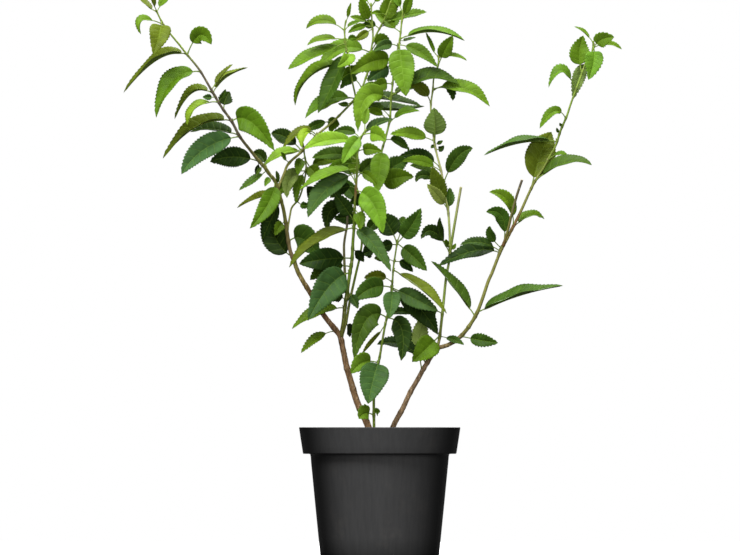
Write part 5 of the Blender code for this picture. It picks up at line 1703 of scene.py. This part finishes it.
class FORSYTHIA_OT_stage(bpy.types.Operator):
    """Lay the pale floor and place the soft studio lights and the camera"""

    bl_idname = "forsythia.stage"
    bl_label = "Stage"

    FLOOR_RADIUS = 3.0
    FLOOR_SEGMENTS = 96
    FLOOR_DROP = 0.5 * MM
    SENSOR_MM = 36.0
    CAMERA_DISTANCE = 24.0
    CAMERA_HEIGHT = 151 * MM
    CLIP_NEAR, CLIP_FAR = 1, 100
    LIT_HEIGHT = 0.45
    # Strength of the air for the light that falls on things, and for the camera.
    AIR = (0.10, 1.0)
    # Each soft light's name, place, width, height, strength in watts.
    LIGHTS = (
        ("key_light", (-0.9, -1.5, 2.5), 1.4, 1.2, 86),
        ("fill_light", (1.3, -2.6, 1.3), 0.8, 1.4, 16),
        ("front_light", (0.15, -3.2, 0.7), 0.5, 1.6, 26),
        ("top_light", (0.2, 0.3, 2.6), 1.6, 1.4, 76),
        ("back_light", (0.5, 2.9, 1.5), 1.8, 1.4, 36),
    )

    def execute(self, context):
        scene = context.scene
        scene.view_settings.view_transform = "Standard"
        self.lay_floor()
        for name, place, width, height, watts in self.LIGHTS:
            self.hang_light(name, Vector(place), width, height, watts)
        self.light_the_air(scene)
        self.place_camera(scene)
        return {"FINISHED"}

    def lay_floor(self):
        shape = bmesh.new()
        bmesh.ops.create_circle(shape, cap_ends=True, segments=self.FLOOR_SEGMENTS, radius=self.FLOOR_RADIUS)
        mesh = bpy.data.meshes.new("floor")
        shape.to_mesh(mesh)
        shape.free()
        mesh.materials.append(pale_floor())
        floor = bpy.data.objects.new("floor", mesh)
        floor.location.z = -self.FLOOR_DROP
        link(floor)

    def hang_light(self, name, place, width, height, watts):
        data = bpy.data.lights.new(name, "AREA")
        data.shape = "RECTANGLE"
        data.size, data.size_y = width, height
        data.energy = watts
        lamp = bpy.data.objects.new(name, data)
        lamp.location = place
        lamp.rotation_euler = (Vector((0, 0, self.LIT_HEIGHT)) - place).to_track_quat("-Z", "Y").to_euler()
        lamp.visible_camera = False
        link(lamp)

    def light_the_air(self, scene):
        """White air for the camera and softer grey air for the light that falls on things."""
        world = bpy.data.worlds.new("studio_air")
        scene.world = world
        world.use_nodes = True
        tree = world.node_tree
        seen = put(tree, "ShaderNodeLightPath").outputs["Is Camera Ray"]
        feed(tree, tree.nodes["Background"], {
            "Color": WHITE, "Strength": ramp_to(tree, seen, span=(0.0, 1.0), ends=self.AIR)})

    def place_camera(self, scene):
        data = bpy.data.cameras.new("camera")
        data.sensor_width = self.SENSOR_MM
        data.lens = self.SENSOR_MM * self.CAMERA_DISTANCE / (VIEW_WIDTH * SCALE)
        data.clip_start, data.clip_end = self.CLIP_NEAR, self.CLIP_FAR
        camera = bpy.data.objects.new("camera", data)
        middle = view_point(VIEW_WIDTH / 2, VIEW_HEIGHT / 2, 0)
        tilt = math.atan2(middle.z - self.CAMERA_HEIGHT, self.CAMERA_DISTANCE)
        camera.location = (middle.x, -self.CAMERA_DISTANCE, self.CAMERA_HEIGHT)
        camera.rotation_euler = (math.pi / 2 + tilt, 0, 0)
        link(camera)
        scene.camera = camera


OPERATORS = (FORSYTHIA_OT_pot, FORSYTHIA_OT_soil, FORSYTHIA_OT_shoots, FORSYTHIA_OT_stage)


class FORSYTHIA_PT_panel(bpy.types.Panel):
    """The forsythia's sizes, colours and building steps"""

    bl_label = "Potted Forsythia"
    bl_idname = "FORSYTHIA_PT_panel"
    bl_space_type = "VIEW_3D"
    bl_region_type = "UI"
    bl_category = "Forsythia"

    def draw(self, context):
        for group in (context.scene.forsythia_sizes, context.scene.forsythia_colours):
            box = self.layout.box()
            for name in group.bl_rna.properties.keys():
                if name not in ("rna_type", "name"):
                    box.prop(group, name)
        for operator in OPERATORS:
            self.layout.operator(operator.bl_idname)


CLASSES = (ForsythiaSizes, ForsythiaColours, *OPERATORS, FORSYTHIA_PT_panel)


def register():
    for made in CLASSES:
        bpy.utils.register_class(made)
    bpy.types.Scene.forsythia_sizes = PointerProperty(type=ForsythiaSizes)
    bpy.types.Scene.forsythia_colours = PointerProperty(type=ForsythiaColours)


def unregister():
    del bpy.types.Scene.forsythia_colours
    del bpy.types.Scene.forsythia_sizes
    for made in reversed(CLASSES):
        bpy.utils.unregister_class(made)


def main():
    register()
    bpy.ops.forsythia.pot()
    bpy.ops.forsythia.soil()
    bpy.ops.forsythia.shoots()
    bpy.ops.forsythia.stage()


if __name__ == "__main__":
    main()
